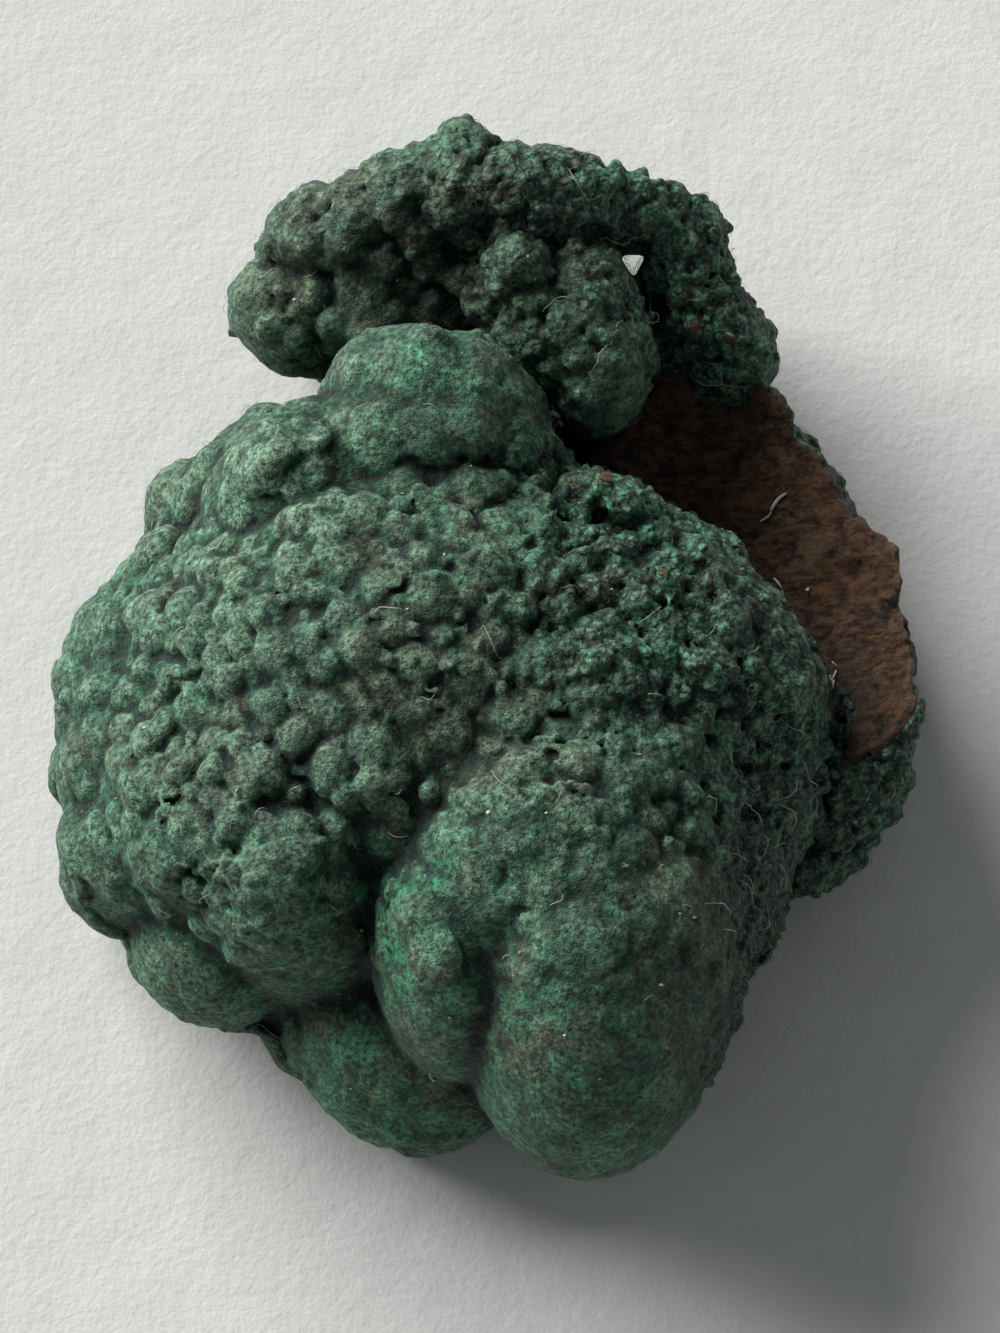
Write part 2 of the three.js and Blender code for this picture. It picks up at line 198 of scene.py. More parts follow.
# measured pebbles: x, y, z, radius
PEBBLES = np.array([
    (-9.97, 19.65, 16.28, 1.34), (-12.2, 17.85, 14.89, 1.22), (-10.66, 17.2, 14.52, 1.35), (-8.72, 17.79, 15.99, 1.22),
    (-6.85, 17.31, 16.02, 1.34), (-5.2, 18.21, 16.44, 1.1), (-2.96, 13.96, 23.83, 1.3), (-5.73, 20.77, 17.89, 1.48),
    (-3.68, 22.23, 18.65, 1.58), (-5.05, 23.28, 19.71, 1.57), (-7.68, 23.33, 18.04, 1.9), (-8.87, 23.79, 18.34, 1.27),
    (-6.48, 25.13, 18.82, 1.17), (-2.19, 24.52, 20.2, 1.29), (-1.48, 19.67, 17.41, 0.91), (0.35, 20.19, 20.24, 0.72),
    (-3.06, 20.63, 17.69, 1.17), (-1.13, 22.15, 18.97, 1.16), (1.24, 22.0, 20.24, 1.03), (0.27, 18.4, 17.23, 1.3),
    (1.67, 16.39, 17.55, 1.16), (2.8, 18.05, 19.73, 1.16), (4.67, 16.21, 19.45, 1.28), (5.51, 14.73, 18.82, 1.16),
    (4.13, 14.61, 17.66, 1.03), (6.18, 15.99, 18.37, 1.16), (6.55, 19.51, 19.13, 1.16), (5.28, 20.62, 19.57, 1.03),
    (3.14, 22.08, 20.18, 1.03), (7.55, 18.22, 18.38, 1.03), (8.73, 16.58, 17.92, 0.91), (-13.01, 19.58, 14.59, 1.66),
    (-10.41, 21.88, 17.42, 1.67), (-13.31, 21.36, 14.29, 1.05), (-11.87, 20.01, 15.82, 0.91), (-8.16, 21.44, 18.76, 1.21),
    (-9.44, 22.26, 18.69, 0.91), (-9.29, 21.01, 17.48, 0.91), (-7.76, 19.64, 17.26, 1.04), (-4.25, 19.57, 16.86, 1.04),
    (2.45, 15.3, 16.74, 1.17), (3.61, 14.4, 14.93, 1.04), (6.56, 13.27, 17.22, 1.45), (6.93, 15.35, 17.8, 1.61),
    (7.3, 12.87, 16.67, 1.29), (14.81, 17.14, 12.34, 0.9), (15.13, 17.26, 11.75, 2.06), (12.67, 19.47, 15.06, 0.92),
    (10.41, 23.58, 17.43, 1.04), (11.92, 22.47, 16.31, 0.91), (8.95, 24.81, 18.63, 0.91), (6.47, 24.37, 20.02, 1.03),
    (4.87, 24.71, 20.11, 1.16), (10.2, 20.9, 15.16, 0.92), (11.68, 19.57, 14.95, 0.79), (13.02, 18.02, 14.32, 0.92),
    (14.0, 17.81, 12.42, 0.79), (7.82, 22.82, 18.22, 0.78), (9.58, 23.7, 18.08, 0.78), (11.27, 20.94, 15.59, 0.78),
    (12.23, 18.5, 14.61, 0.79), (6.57, 23.14, 19.72, 0.78), (5.19, 23.51, 20.31, 0.77), (-17.98, 3.46, 14.01, 2.62),
    (-18.28, -0.52, 16.28, 2.4), (-20.46, -1.58, 13.46, 3.34), (-20.84, -4.26, 13.87, 3.04), (-20.46, -7.67, 12.87, 4.53),
    (-18.66, -11.05, 19.12, 1.92), (-19.66, -13.11, 13.26, 4.18), (-16.04, -13.76, 20.3, 1.91), (-13.46, -13.55, 22.18, 1.42),
    (-16.88, -10.4, 20.88, 1.06), (-14.84, -10.63, 21.98, 1.06), (-18.62, -8.16, 19.38, 1.32), (-15.78, -6.77, 20.11, 1.65),
    (-15.5, -1.49, 21.15, 1.07), (-13.47, -3.37, 22.93, 1.06), (-13.95, -5.41, 22.17, 1.31), (-19.05, -3.59, 18.28, 0.95),
    (-10.93, -4.16, 23.37, 2.04), (-11.74, -7.1, 23.17, 1.3), (-10.06, -8.72, 23.02, 1.63), (-7.97, -10.53, 22.82, 1.9),
    (-11.4, -10.73, 22.75, 1.3), (-7.56, -1.54, 23.31, 2.05), (-7.86, -4.17, 23.52, 1.63), (-4.98, -4.7, 23.49, 1.63),
    (-3.41, -3.66, 23.9, 1.18), (-1.11, -3.36, 23.14, 2.25), (-6.48, 1.55, 23.18, 2.26), (-3.18, 2.12, 23.27, 2.26),
    (-0.24, 5.58, 22.01, 2.48), (-1.27, 3.31, 24.05, 1.06), (1.38, 8.9, 21.53, 2.29), (3.19, 2.78, 22.87, 1.65),
    (5.17, 4.33, 21.79, 0.95), (6.35, 5.66, 21.9, 0.95), (2.46, -0.37, 23.82, 1.7), (7.99, 1.95, 22.9, 1.29),
    (9.66, 2.82, 22.33, 1.04), (12.41, 1.51, 21.9, 1.53), (13.74, -2.05, 22.22, 1.7), (16.11, -3.09, 21.0, 0.79),
    (17.4, -5.06, 19.04, 1.61), (12.66, -5.02, 23.23, 1.7), (9.52, -5.15, 24.19, 0.97), (7.9, -8.54, 23.78, 1.69),
    (4.45, -9.59, 23.07, 2.44), (10.77, -9.32, 23.62, 1.31), (4.9, -5.21, 23.84, 1.3), (4.23, -3.84, 23.87, 1.3),
    (0.04, -11.28, 23.55, 1.62), (-0.17, -8.0, 23.5, 1.63), (-2.33, -6.94, 23.85, 1.3), (-3.44, -9.18, 23.86, 1.3),
    (10.74, -14.33, 21.99, 2.55), (11.15, -12.08, 23.43, 1.11), (-4.81, -17.28, 21.41, 0.72), (8.74, -1.34, 23.64, 1.25),
    (10.37, -0.67, 23.35, 1.0), (6.55, -0.82, 23.81, 1.12), (5.42, 0.9, 23.59, 1.0), (0.9, 1.33, 24.0, 1.12),
    (0.37, -2.0, 24.0, 1.0), (1.98, -3.67, 23.95, 1.12), (2.06, -6.44, 23.87, 1.24), (6.51, -6.43, 24.04, 0.87),
    (9.16, -7.07, 24.03, 0.93), (14.23, 0.03, 20.59, 1.01), (15.04, -4.43, 21.59, 0.88), (14.39, -6.16, 21.31, 1.13),
    (15.94, -7.26, 18.76, 1.01), (17.15, -8.12, 17.24, 0.89), (14.1, -8.67, 19.59, 1.13), (12.87, -11.55, 21.37, 1.0),
    (14.79, -10.67, 18.1, 0.94), (15.96, -12.62, 16.35, 0.89), (-5.54, -6.95, 23.89, 1.24), (-6.64, -6.43, 23.99, 0.99),
    (-9.34, -6.44, 24.01, 0.99), (-9.89, -2.56, 23.97, 1.12), (-12.05, -1.93, 23.66, 1.25), (-13.24, 0.06, 22.63, 1.13),
    (-14.91, 1.1, 20.74, 1.39), (-16.05, -2.82, 20.76, 1.13), (-17.21, -4.83, 19.79, 1.13), (-17.58, -7.28, 19.72, 1.01),
    (-20.06, -7.36, 17.81, 1.14), (-13.21, -9.1, 22.5, 1.12), (-14.85, -12.27, 21.88, 0.99), (-12.75, -11.81, 22.52, 1.11),
    (-10.13, -13.75, 22.36, 1.24), (-7.9, -13.83, 21.8, 1.36), (-9.84, -15.98, 22.6, 1.39), (-11.37, -16.01, 22.67, 1.54),
    (-13.54, -16.17, 21.97, 1.11), (-16.02, -16.42, 19.18, 1.12), (-17.92, -16.8, 15.98, 1.01), (-17.13, -14.97, 19.89, 1.12),
    (-19.25, -12.62, 18.93, 1.25), (-4.5, -1.45, 23.94, 1.12), (-4.79, 0.23, 24.02, 1.0), (-1.8, 0.23, 24.02, 1.0),
    (-8.81, 1.19, 23.94, 1.25), (-10.46, -0.33, 24.0, 1.12), (-5.59, -2.56, 24.05, 0.87), (-2.86, -6.43, 23.98, 0.99),
    (-4.64, -11.5, 24.0, 0.99), (-2.76, -12.14, 23.96, 0.74), (-7.02, -12.33, 23.13, 1.11), (1.67, -10.74, 23.95, 1.11),
    (6.49, -10.17, 23.82, 1.36), (8.54, -10.64, 23.94, 1.11), (5.94, -12.27, 23.83, 1.23), (8.46, -12.77, 23.83, 1.35),
    (3.74, -12.38, 23.85, 1.23), (9.72, -15.76, 23.37, 1.69), (12.72, -15.69, 21.64, 1.24), (6.46, -15.17, 22.58, 2.3),
    (4.03, -15.44, 22.67, 2.11), (-11.24, 7.1, 22.89, 1.86), (-12.13, 6.39, 22.19, 1.7), (-10.0, 6.2, 22.18, 2.24),
    (-9.62, 2.94, 22.14, 2.61), (-8.26, 3.77, 23.3, 1.69), (-4.77, 5.61, 22.7, 1.73), (-2.51, 7.84, 23.27, 1.69),
    (-12.25, -17.45, 21.76, 1.59), (-13.03, -18.42, 19.67, 1.55), (-11.03, -18.3, 19.16, 2.53), (-9.93, -17.34, 20.29, 2.56),
    (-15.12, -17.62, 16.41, 1.53),
]).reshape(-1, 4)

# how the crust changes from place to place:
# x, y, z, pebble size, rise, grain, dust, dark, vivid
REGIONS = np.array([
    (-2.9, 10.8, 24.5, 2, 0.1, 0.02, 0.2, 0.2, 0.55),
    (-6.9, 12.3, 23.6, 2, 0.12, 0.02, 0.42, 0.1, 0.5),
    (-10.7, 5.2, 23.8, 1.7, 0.16, 0.03, 1, 0.05, 0.25),
    (-8.5, 2.1, 24.5, 1.3, 0.35, 0.08, 0.55, 0.3, 0.25),
    (-14.3, 5.5, 21, 1.6, 0.28, 0.06, 0.55, 0.2, 0.35),
    (-18.5, 3.2, 16.6, 1.7, 0.35, 0.05, 0.55, 0.25, 0.3),
    (-21.8, -2.5, 15.9, 1.8, 0.3, 0.05, 0.52, 0.1, 0.35),
    (-22.6, -8.5, 16, 2, 0.2, 0.03, 0.45, 0.12, 0.4),
    (-20.4, -14.6, 17.2, 2.2, 0.12, 0.02, 0.42, 0.15, 0.4),
    (-15.8, -5.8, 21.4, 1.5, 0.42, 0.08, 0.6, 0.12, 0.4),
    (-10.6, -3.7, 24.4, 1.6, 0.42, 0.1, 0.5, 0.3, 0.35),
    (-13.9, -12.4, 22.7, 1.5, 0.42, 0.08, 0.45, 0.45, 0.15),
    (-8.4, -9.4, 24.4, 1.6, 0.4, 0.1, 0.45, 0.4, 0.15),
    (-2.9, 0.9, 24.5, 1.6, 0.42, 0.15, 0.35, 0.35, 0.4),
    (-3.4, -4.8, 24.4, 1.6, 0.4, 0.12, 0.42, 0.4, 0.2),
    (-0.1, 5.2, 23.7, 1.6, 0.4, 0.15, 0.35, 0.25, 0.5),
    (4.4, 6.6, 21, 0.9, 0.6, 0.55, 0.15, 0.25, 0.75),
    (7.7, 1.8, 23.5, 1, 0.62, 0.6, 0.15, 0.2, 0.8),
    (12.2, -0.4, 23.1, 1.2, 0.68, 0.6, 0.35, 0.12, 0.85),
    (6.6, -4.3, 24.4, 1, 0.6, 0.55, 0.2, 0.25, 0.7),
    (2.1, -1.4, 24.4, 1.2, 0.5, 0.35, 0.3, 0.3, 0.5),
    (16.8, -5.4, 20.2, 1.1, 0.7, 0.75, 0.45, 0.1, 0.85),
    (12.1, -6.3, 23.5, 1.2, 0.62, 0.55, 0.35, 0.2, 0.75),
    (-0.1, -8.8, 24.4, 1.5, 0.42, 0.14, 0.4, 0.38, 0.25),
    (4.3, -11.1, 24.4, 1.5, 0.35, 0.1, 0.45, 0.4, 0.25),
    (9.8, -10, 24.4, 1.3, 0.45, 0.3, 0.35, 0.25, 0.5),
    (16.2, -9.5, 18, 1, 0.62, 0.75, 0.35, 0.2, 0.75),
    (15, -14.2, 18.3, 0.8, 0.55, 0.6, 0.2, 0.55, 0.3),
    (15.3, -17.9, 16.9, 0.8, 0.5, 0.6, 0.1, 0.75, 0.2),
    (-10, -17.6, 23.2, 1.7, 0.2, 0.06, 0.4, 0.3, 0.4),
    (-13.3, -17.4, 22.4, 1.1, 0.45, 0.35, 0.55, 0.05, 0.75),
    (-17.1, -19.8, 14.7, 2.2, 0.08, 0.03, 0.5, 0.08, 0.7),
    (-6.3, -25.1, 12.6, 2.4, 0.07, 0.02, 0.16, 0.22, 0.6),
    (-4.5, -20.3, 22.6, 1.8, 0.12, 0.06, 0.34, 0.05, 0.85),
    (5.9, -27.2, 23.8, 2.4, 0.06, 0.02, 0.24, 0.18, 0.45),
    (7.6, -20.6, 24.3, 2, 0.12, 0.05, 0.22, 0.36, 0.25),
    (-0.1, -17.9, 24.4, 1.6, 0.16, 0.1, 0.42, 0.15, 0.6),
    (4.3, -15.1, 24.4, 1.5, 0.25, 0.12, 0.5, 0.35, 0.25),
    (12, -22.5, 22.7, 2, 0.1, 0.1, 0.12, 0.5, 0.3),
    (-12.4, 18.6, 15.8, 1.6, 0.3, 0.08, 0.45, 0.3, 0.2),
    (-10, 22.5, 18.8, 1.3, 0.42, 0.25, 0.25, 0.6, 0.15),
    (-8, 23.1, 18.7, 1.5, 0.32, 0.12, 0.4, 0.5, 0.1),
    (-4.8, 21.7, 19.3, 1.1, 0.5, 0.3, 0.2, 0.6, 0.2),
    (-5.9, 17.6, 16.9, 1.3, 0.42, 0.2, 0.15, 0.6, 0.3),
    (-1.3, 22.1, 19.9, 0.8, 0.5, 0.5, 0.1, 0.8, 0.15),
    (2.2, 23.8, 20.9, 0.6, 0.45, 0.6, 0.05, 0.95, 0.1),
    (4.5, 21.3, 20.2, 0.7, 0.45, 0.45, 0.05, 0.95, 0.05),
    (2.1, 19, 21.2, 1.6, 0.15, 0.1, 0.45, 0.2, 0.45),
    (3.6, 16.1, 19.6, 0.8, 0.5, 0.5, 0.25, 0.35, 0.55),
    (7, 13.5, 19.1, 1, 0.3, 0.15, 0.5, 0.25, 0.35),
    # dark in this row is painted shade in the valley under the arm
    (8.4, 13.3, 9.5, 1.2, 0.3, 0.15, 0.05, 0.9, 0.05),
    (-1.3, 28, 20.5, 0.7, 0.3, 0.1, 0.45, 0.05, 0.95),
    (-0.7, 25.8, 20.6, 0.5, 0.45, 0.5, 0.3, 0.4, 0.6),
    (4.5, 25.2, 20.6, 0.6, 0.55, 0.7, 0.2, 0.35, 0.75),
    (8, 23.5, 19.3, 0.6, 0.6, 0.85, 0.3, 0.15, 0.95),
    (10.9, 21.5, 16.5, 0.6, 0.6, 0.85, 0.3, 0.15, 0.95),
    (13.4, 18.2, 13.3, 0.6, 0.6, 0.8, 0.35, 0.15, 0.9),
    (15.6, 26.9, -0.6, 1.6, 0.15, 0.2, 0.05, 0.35, 0.6),
    (16, 16.3, 12.6, 1.2, 0.3, 0.3, 0.3, 0.2, 0.7),
    # dark in these four rows is painted shade on the outer side of the right wall
    (20, 16.5, -2.7, 0.7, 0.3, 0.4, 0, 1, 0),
    (22.2, 8.6, 6.5, 0.7, 0.3, 0.4, 0, 1, 0),
    (24.2, 2.3, 11.4, 0.7, 0.3, 0.4, 0, 1, 0),
    (24.6, -2.4, 13, 0.7, 0.35, 0.5, 0, 1, 0.05),
    (20.7, -6.1, 11.4, 0.7, 0.6, 0.8, 0.15, 0.6, 0.45),
    (22.9, -8.2, 12.6, 0.7, 0.6, 0.8, 0.3, 0.3, 0.7),
    (21.3, -12, 8.6, 0.8, 0.55, 0.75, 0.25, 0.35, 0.65),
    (18.5, -13.6, 7.6, 0.8, 0.55, 0.7, 0.1, 0.7, 0.3),
    (0, 29, 5, 1.5, 0.4, 0.2, 0.35, 0.45, 0.35),
    (-12, 26, 6, 1.6, 0.35, 0.15, 0.4, 0.35, 0.35),
    (14, 26, 5, 1.3, 0.45, 0.35, 0.3, 0.35, 0.5),
    (24, 10, 5, 1.6, 0.4, 0.2, 0.35, 0.3, 0.45),
    (24, -3, 5, 1.5, 0.42, 0.25, 0.35, 0.35, 0.45),
    (18, -16, 5, 1.4, 0.42, 0.3, 0.3, 0.4, 0.45),
    (-24, 4, 4, 1.7, 0.32, 0.1, 0.5, 0.2, 0.35),
    (-22, -12, 4, 1.8, 0.28, 0.08, 0.45, 0.2, 0.4),
    (-8, -26, 3, 2, 0.15, 0.05, 0.3, 0.25, 0.5),
    (6, -30, 6, 2.2, 0.1, 0.04, 0.35, 0.15, 0.45),
    # dark in these two rows is painted shade in the low valley between the arm and the mass
    (-14, 14, 6, 1.5, 0.35, 0.15, 0.25, 0.45, 0.3),
    (-2, 14, 7, 1.2, 0.4, 0.25, 0.1, 0.7, 0.25),
])

# strands of lint caught on the crust: both ends, sag sideways, lift off the crust, radius
FIBRES = [
    (-15.47, 2.03, 20.65, -14.44, 2.89, 21.14, 0.11, 0.24, 0.030),
    (-5.19, -3.12, 24.43, -4.42, -2.77, 24.43, 0.07, 0.17, 0.030),
    (-10.59, -11.91, 23.04, -9.93, -11.64, 23.10, 0.05, 0.21, 0.025),
    (-12.62, -13.60, 22.99, -11.91, -13.14, 22.96, 0.07, 0.21, 0.025),
    (-4.76, -12.51, 24.35, -4.48, -12.12, 24.38, 0.02, 0.14, 0.025),
    (-12.46, -15.56, 23.39, -12.08, -15.31, 23.51, 0.05, 0.14, 0.025),
    (-2.91, -26.25, 14.74, -2.49, -26.32, 12.61, 0.05, 0.21, 0.051),
    (12.07, -12.62, 23.16, 12.82, -13.12, 22.16, 0.07, 0.21, 0.030),
    (3.00, 9.32, 21.56, 4.51, 9.13, 18.39, 0.14, 0.35, 0.017),
    (-3.19, 9.67, 24.51, -1.79, 9.08, 24.51, 0.09, 0.14, 0.015),
    (-13.23, -21.74, 5.56, -11.12, -23.35, 6.88, 0.18, 0.21, 0.017),
    (-5.17, -14.21, 22.67, -4.11, -14.57, 22.78, 0.09, 0.28, 0.017),
    (17.98, 9.50, 9.13, 17.12, 8.56, 8.38, 0.14, 0.07, 0.111),
    (17.18, 8.61, 8.42, 16.42, 8.05, 8.01, 0.09, 0.07, 0.085),
    (17.23, 4.76, 7.46, 17.75, 4.00, 7.52, 0.14, 0.28, 0.068),
    (17.75, 4.00, 7.52, 18.15, 3.00, 7.57, 0.09, 0.28, 0.076),
    (19.81, -3.27, 12.40, 20.70, -1.29, 9.02, 0.14, 0.35, 0.085),
    (20.81, -1.18, 9.06, 20.48, -0.75, 8.79, 0.05, 0.21, 0.051),
    (15.61, -6.90, 20.20, 16.98, -6.91, 18.69, 0.27, 0.35, 0.017),
    (16.98, -6.91, 18.69, 17.72, -7.92, 17.36, 0.23, 0.35, 0.017),
    (18.03, -8.62, 16.66, 18.83, -9.80, 14.31, 0.32, 0.42, 0.017),
    (18.83, -9.80, 14.31, 18.12, -11.67, 14.28, 0.36, 0.42, 0.017),
    (17.51, -12.26, 14.82, 16.26, -13.83, 16.58, 0.27, 0.35, 0.017),
    (16.25, -14.54, 16.63, 16.76, -15.82, 15.13, 0.27, 0.35, 0.017),
    (9.10, 16.60, 18.09, 9.93, 19.79, 14.19, 0.23, 0.42, 0.015),
    (6.80, 21.75, 19.06, 9.15, 22.66, 17.90, 0.36, 0.42, 0.013),
    (4.48, 25.50, 20.54, 6.79, 23.96, 20.38, 0.36, 0.35, 0.013),
    (7.47, 16.40, 18.68, 6.07, 13.74, 19.01, 0.32, 0.28, 0.015),
    (3.32, 17.16, 19.98, 5.33, 17.74, 20.07, 0.23, 0.28, 0.015),
    (12.76, 16.47, 13.02, 16.31, 15.98, 12.28, 0.41, 0.35, 0.015),
    (12.22, 16.19, 11.64, 14.84, 15.48, 12.29, 0.32, 0.35, 0.015),
    (-10.61, 20.11, 16.78, -9.54, 20.59, 17.51, 0.14, 0.21, 0.015),
    (-12.43, 17.21, 14.49, -11.27, 16.61, 14.08, 0.14, 0.21, 0.017),
    (-9.79, 16.85, 14.64, -8.98, 16.66, 12.47, 0.14, 0.14, 0.017),
    (-13.65, 21.66, 14.50, -12.53, 22.11, 16.02, 0.14, 0.21, 0.015),
    (8.80, -2.49, 24.25, 10.03, -1.96, 24.01, 0.14, 0.21, 0.017),
    (12.14, -3.50, 23.72, 13.06, -2.64, 23.14, 0.14, 0.21, 0.017),
    (4.35, -1.39, 24.44, 5.47, -1.04, 24.44, 0.14, 0.21, 0.017),
    (14.70, -3.99, 22.34, 15.70, -3.35, 21.50, 0.14, 0.28, 0.021),
    (8.76, -6.55, 24.41, 9.98, -7.12, 24.38, 0.18, 0.21, 0.017),
    (4.35, -3.69, 24.43, 5.02, -3.00, 24.43, 0.09, 0.21, 0.017),
    (-0.09, -3.69, 24.43, 0.69, -4.38, 24.42, 0.14, 0.21, 0.015),
    (-3.40, -7.12, 24.41, -2.52, -6.78, 24.41, 0.14, 0.21, 0.015),
    (1.30, -12.23, 24.38, 2.12, -12.80, 24.38, 0.14, 0.21, 0.017),
    (3.49, -13.93, 24.37, 4.32, -13.48, 24.37, 0.14, 0.21, 0.017),
    (7.05, -16.85, 24.36, 7.71, -16.29, 24.36, 0.14, 0.21, 0.017),
    (9.51, -16.85, 24.36, 9.89, -17.63, 24.36, 0.09, 0.21, 0.017),
    (10.59, -18.70, 24.35, 11.08, -19.25, 24.35, 0.09, 0.21, 0.021),
    (4.30, -18.69, 24.35, 4.63, -18.02, 24.35, 0.09, 0.21, 0.017),
    (1.02, -21.64, 23.75, 1.67, -21.48, 24.34, 0.09, 0.14, 0.017),
    (8.64, -23.97, 24.33, 9.30, -23.64, 24.33, 0.09, 0.14, 0.017),
    (-8.36, -18.15, 21.85, -7.57, -18.30, 20.69, 0.14, 0.21, 0.017),
    (-15.70, -17.31, 19.31, -14.79, -17.21, 20.66, 0.14, 0.21, 0.017),
    (-18.11, -17.03, 16.68, -17.45, -17.52, 16.30, 0.14, 0.21, 0.017),
    (-20.95, -11.22, 17.81, -20.19, -11.07, 19.08, 0.14, 0.14, 0.017),
    (-17.28, -2.58, 20.37, -16.51, -2.28, 21.00, 0.14, 0.21, 0.017),
    (-10.04, -7.12, 24.41, -9.37, -7.58, 24.41, 0.14, 0.21, 0.017),
    (-7.28, -14.52, 22.08, -6.63, -14.98, 21.60, 0.14, 0.21, 0.017),
    (21.78, -9.70, 11.42, 22.45, -9.19, 11.79, 0.18, 0.28, 0.017),
    (20.73, -12.13, 9.15, 21.43, -11.56, 9.26, 0.18, 0.28, 0.017),
    (13.13, -19.67, 22.38, 14.04, -19.81, 20.35, 0.23, 0.35, 0.025),
    (14.61, -11.46, 18.80, 15.67, -12.96, 17.31, 0.41, 0.35, 0.025),
    (15.67, -12.96, 17.31, 15.15, -14.78, 18.22, 0.36, 0.35, 0.025),
    (12.90, -15.14, 22.28, 14.54, -15.68, 19.13, 0.41, 0.35, 0.021),
    (14.54, -15.68, 19.13, 15.02, -17.31, 18.00, 0.36, 0.35, 0.025),
    (16.56, -11.05, 17.07, 17.52, -12.49, 14.54, 0.41, 0.35, 0.025),
    (11.98, -18.61, 23.95, 13.43, -18.73, 21.94, 0.32, 0.35, 0.021),
    (17.43, -9.29, 17.01, 16.26, -11.10, 17.28, 0.36, 0.35, 0.025),
    (13.88, -10.13, 20.42, 14.96, -10.82, 18.51, 0.32, 0.35, 0.021),
    (15.95, -16.96, 16.38, 15.36, -18.40, 16.40, 0.27, 0.35, 0.025),
    (14.09, -16.37, 20.20, 14.89, -16.83, 18.39, 0.23, 0.35, 0.017),
]

# pale crumbs: x, y, z, radius
CRUMBS = [
    (-4.41, 4.84, 24.21, 0.1),
    (-2.15, 0.46, 24.45, 0.1),
    (-18.79, -7.79, 19.84, 0.1),
    (-10.90, 18.99, 16.48, 0.12),
    (-4.89, 19.69, 17.63, 0.1),
    (19.20, 3.86, 8.02, 0.16),
    (4.55, -25.91, 24.32, 0.1),
    (9.73, -23.14, 24.33, 0.12),
    (1.46, -14.21, 24.37, 0.13),
    (3.49, -14.21, 24.37, 0.12),
    (10.59, -19.09, 24.35, 0.13),
    (11.40, -19.42, 24.35, 0.12),
    (21.54, -10.54, 10.49, 0.15),
    (18.93, -11.95, 10.17, 0.15),
    (2.05, 19.74, 20.92, 0.1),
    (2.85, 19.22, 20.87, 0.08),
    (7.14, -0.77, 24.29, 0.1),
    (12.30, 2.73, 21.26, 0.1),
    (15.58, -6.21, 20.91, 0.12),
    (5.72, -7.12, 24.41, 0.1),
    (8.73, -11.10, 24.39, 0.1),
    (-6.79, -18.87, 18.58, 0.1),
    (-13.36, -11.88, 22.92, 0.09),
    (-16.93, -6.10, 20.50, 0.08),
    (-3.98, -2.54, 24.44, 0.08),
    (2.66, -21.76, 24.33, 0.08),
    (6.47, -28.14, 22.96, 0.08),
    (-1.73, -24.54, 21.51, 0.08),
    (-7.52, -26.48, 10.62, 0.08),
    (-14.16, -20.05, 16.06, 0.08),
    (-0.66, 6.45, 23.55, 0.08),
    (-5.74, 12.64, 24.46, 0.08),
]

# ---------------------------------------------------------------- grid
H = 0.2
LO = np.array([-26.8, -33.8, -3.5 * H])
N = [int(round((e - s) / H)) + 1 for s, e in zip(LO, (26.8, 33.8, 28.6))]
AX = [(LO[i] + H * np.arange(N[i])).astype(F4) for i in range(3)]
GX, GY, GZ = AX[0][:, None, None], AX[1][None, :, None], AX[2][None, None, :]


def window(c, m):
    out = []
    for i in range(3):
        mi = m[i] if hasattr(m, "__len__") else m
        a = max(0, int((c[i] - mi - LO[i]) / H))
        b = min(N[i], int((c[i] + mi - LO[i]) / H) + 2)
        out.append(slice(a, max(a, b)))
    return tuple(out)


def ellipsoid(s, x, y, z, a, b, c, rot):
    t = math.radians(rot)
    ca, sa = math.cos(t), math.sin(t)
    dx, dy, dz = GX[s[0]] - F4(x), GY[:, s[1]] - F4(y), (GZ[:, :, s[2]] - F4(z)) / F4(c)
    p, q = (ca * dx + sa * dy) / a, (-sa * dx + ca * dy) / b
    k0 = np.sqrt(p * p + q * q + dz * dz) + 1e-6
    k1 = np.sqrt((p / a) ** 2 + (q / b) ** 2 + (dz / c) ** 2) + 1e-6
    return (k0 * (k0 - 1.0) / k1).astype(F4)


ALL = (slice(None), slice(None), slice(None))


def smin(a, b, k):
    h = np.maximum(k - np.abs(a - b), 0) / k
    return np.minimum(a, b) - h * h * k * 0.25


BLEND = {"m": 1.8, "d": 2.2, "s": 2.0, "t": 3.0, "q": 0.6, "a": 2.0, "r": 2.0, "l": 1.5}


def macro():
    g = {n: np.full(N, 9.0, F4) for n in BLEND}
    for x, y, z, a, b, c, rot, grp in LOBES:
        m = max(a, b) + 2.5
        s = window((x, y, z), (m, m, c + 2.5))
        g[grp][s] = smin(g[grp][s], ellipsoid(s, x, y, z, a, b, c, rot), BLEND[grp])
    green = smin(g["m"], g["d"], 2.2)
    green = smin(green, g["s"], 2.6)
    green = smin(green, g["t"], 2.2)
    green = smin(green, g["q"], 0.6)
    green = smin(green, g["a"], 0.4)
    under = np.minimum.reduce([ellipsoid(ALL, *u) for u in UNDERCUTS])
    bowl = smin(ellipsoid(ALL, *BOWLS[0]), ellipsoid(ALL, *BOWLS[1]), 2.0)
    green = np.maximum(green, -under)
    skirt = np.maximum(g["l"], -np.minimum(under, bowl))
    rim = np.maximum(g["r"], -np.minimum(under, bowl))
    f = smin(smin(green, skirt, 0.9), rim, 0.5)
    return f, green, bowl


def hash01(i, j, k, seed):
    with np.errstate(over="ignore"):
        n = (i.astype(np.uint32) * np.uint32(374761393) + j.astype(np.uint32) * np.uint32(668265263)
             + k.astype(np.uint32) * np.uint32(2246822519) + np.uint32((seed * 3266489917) & 0xFFFFFFFF))
        n ^= n >> np.uint32(13)
        n *= np.uint32(1274126177)
        n ^= n >> np.uint32(16)
    return (n & np.uint32(0xFFFFFF)).astype(F4) / F4(0x7FFFFF) - F4(1)


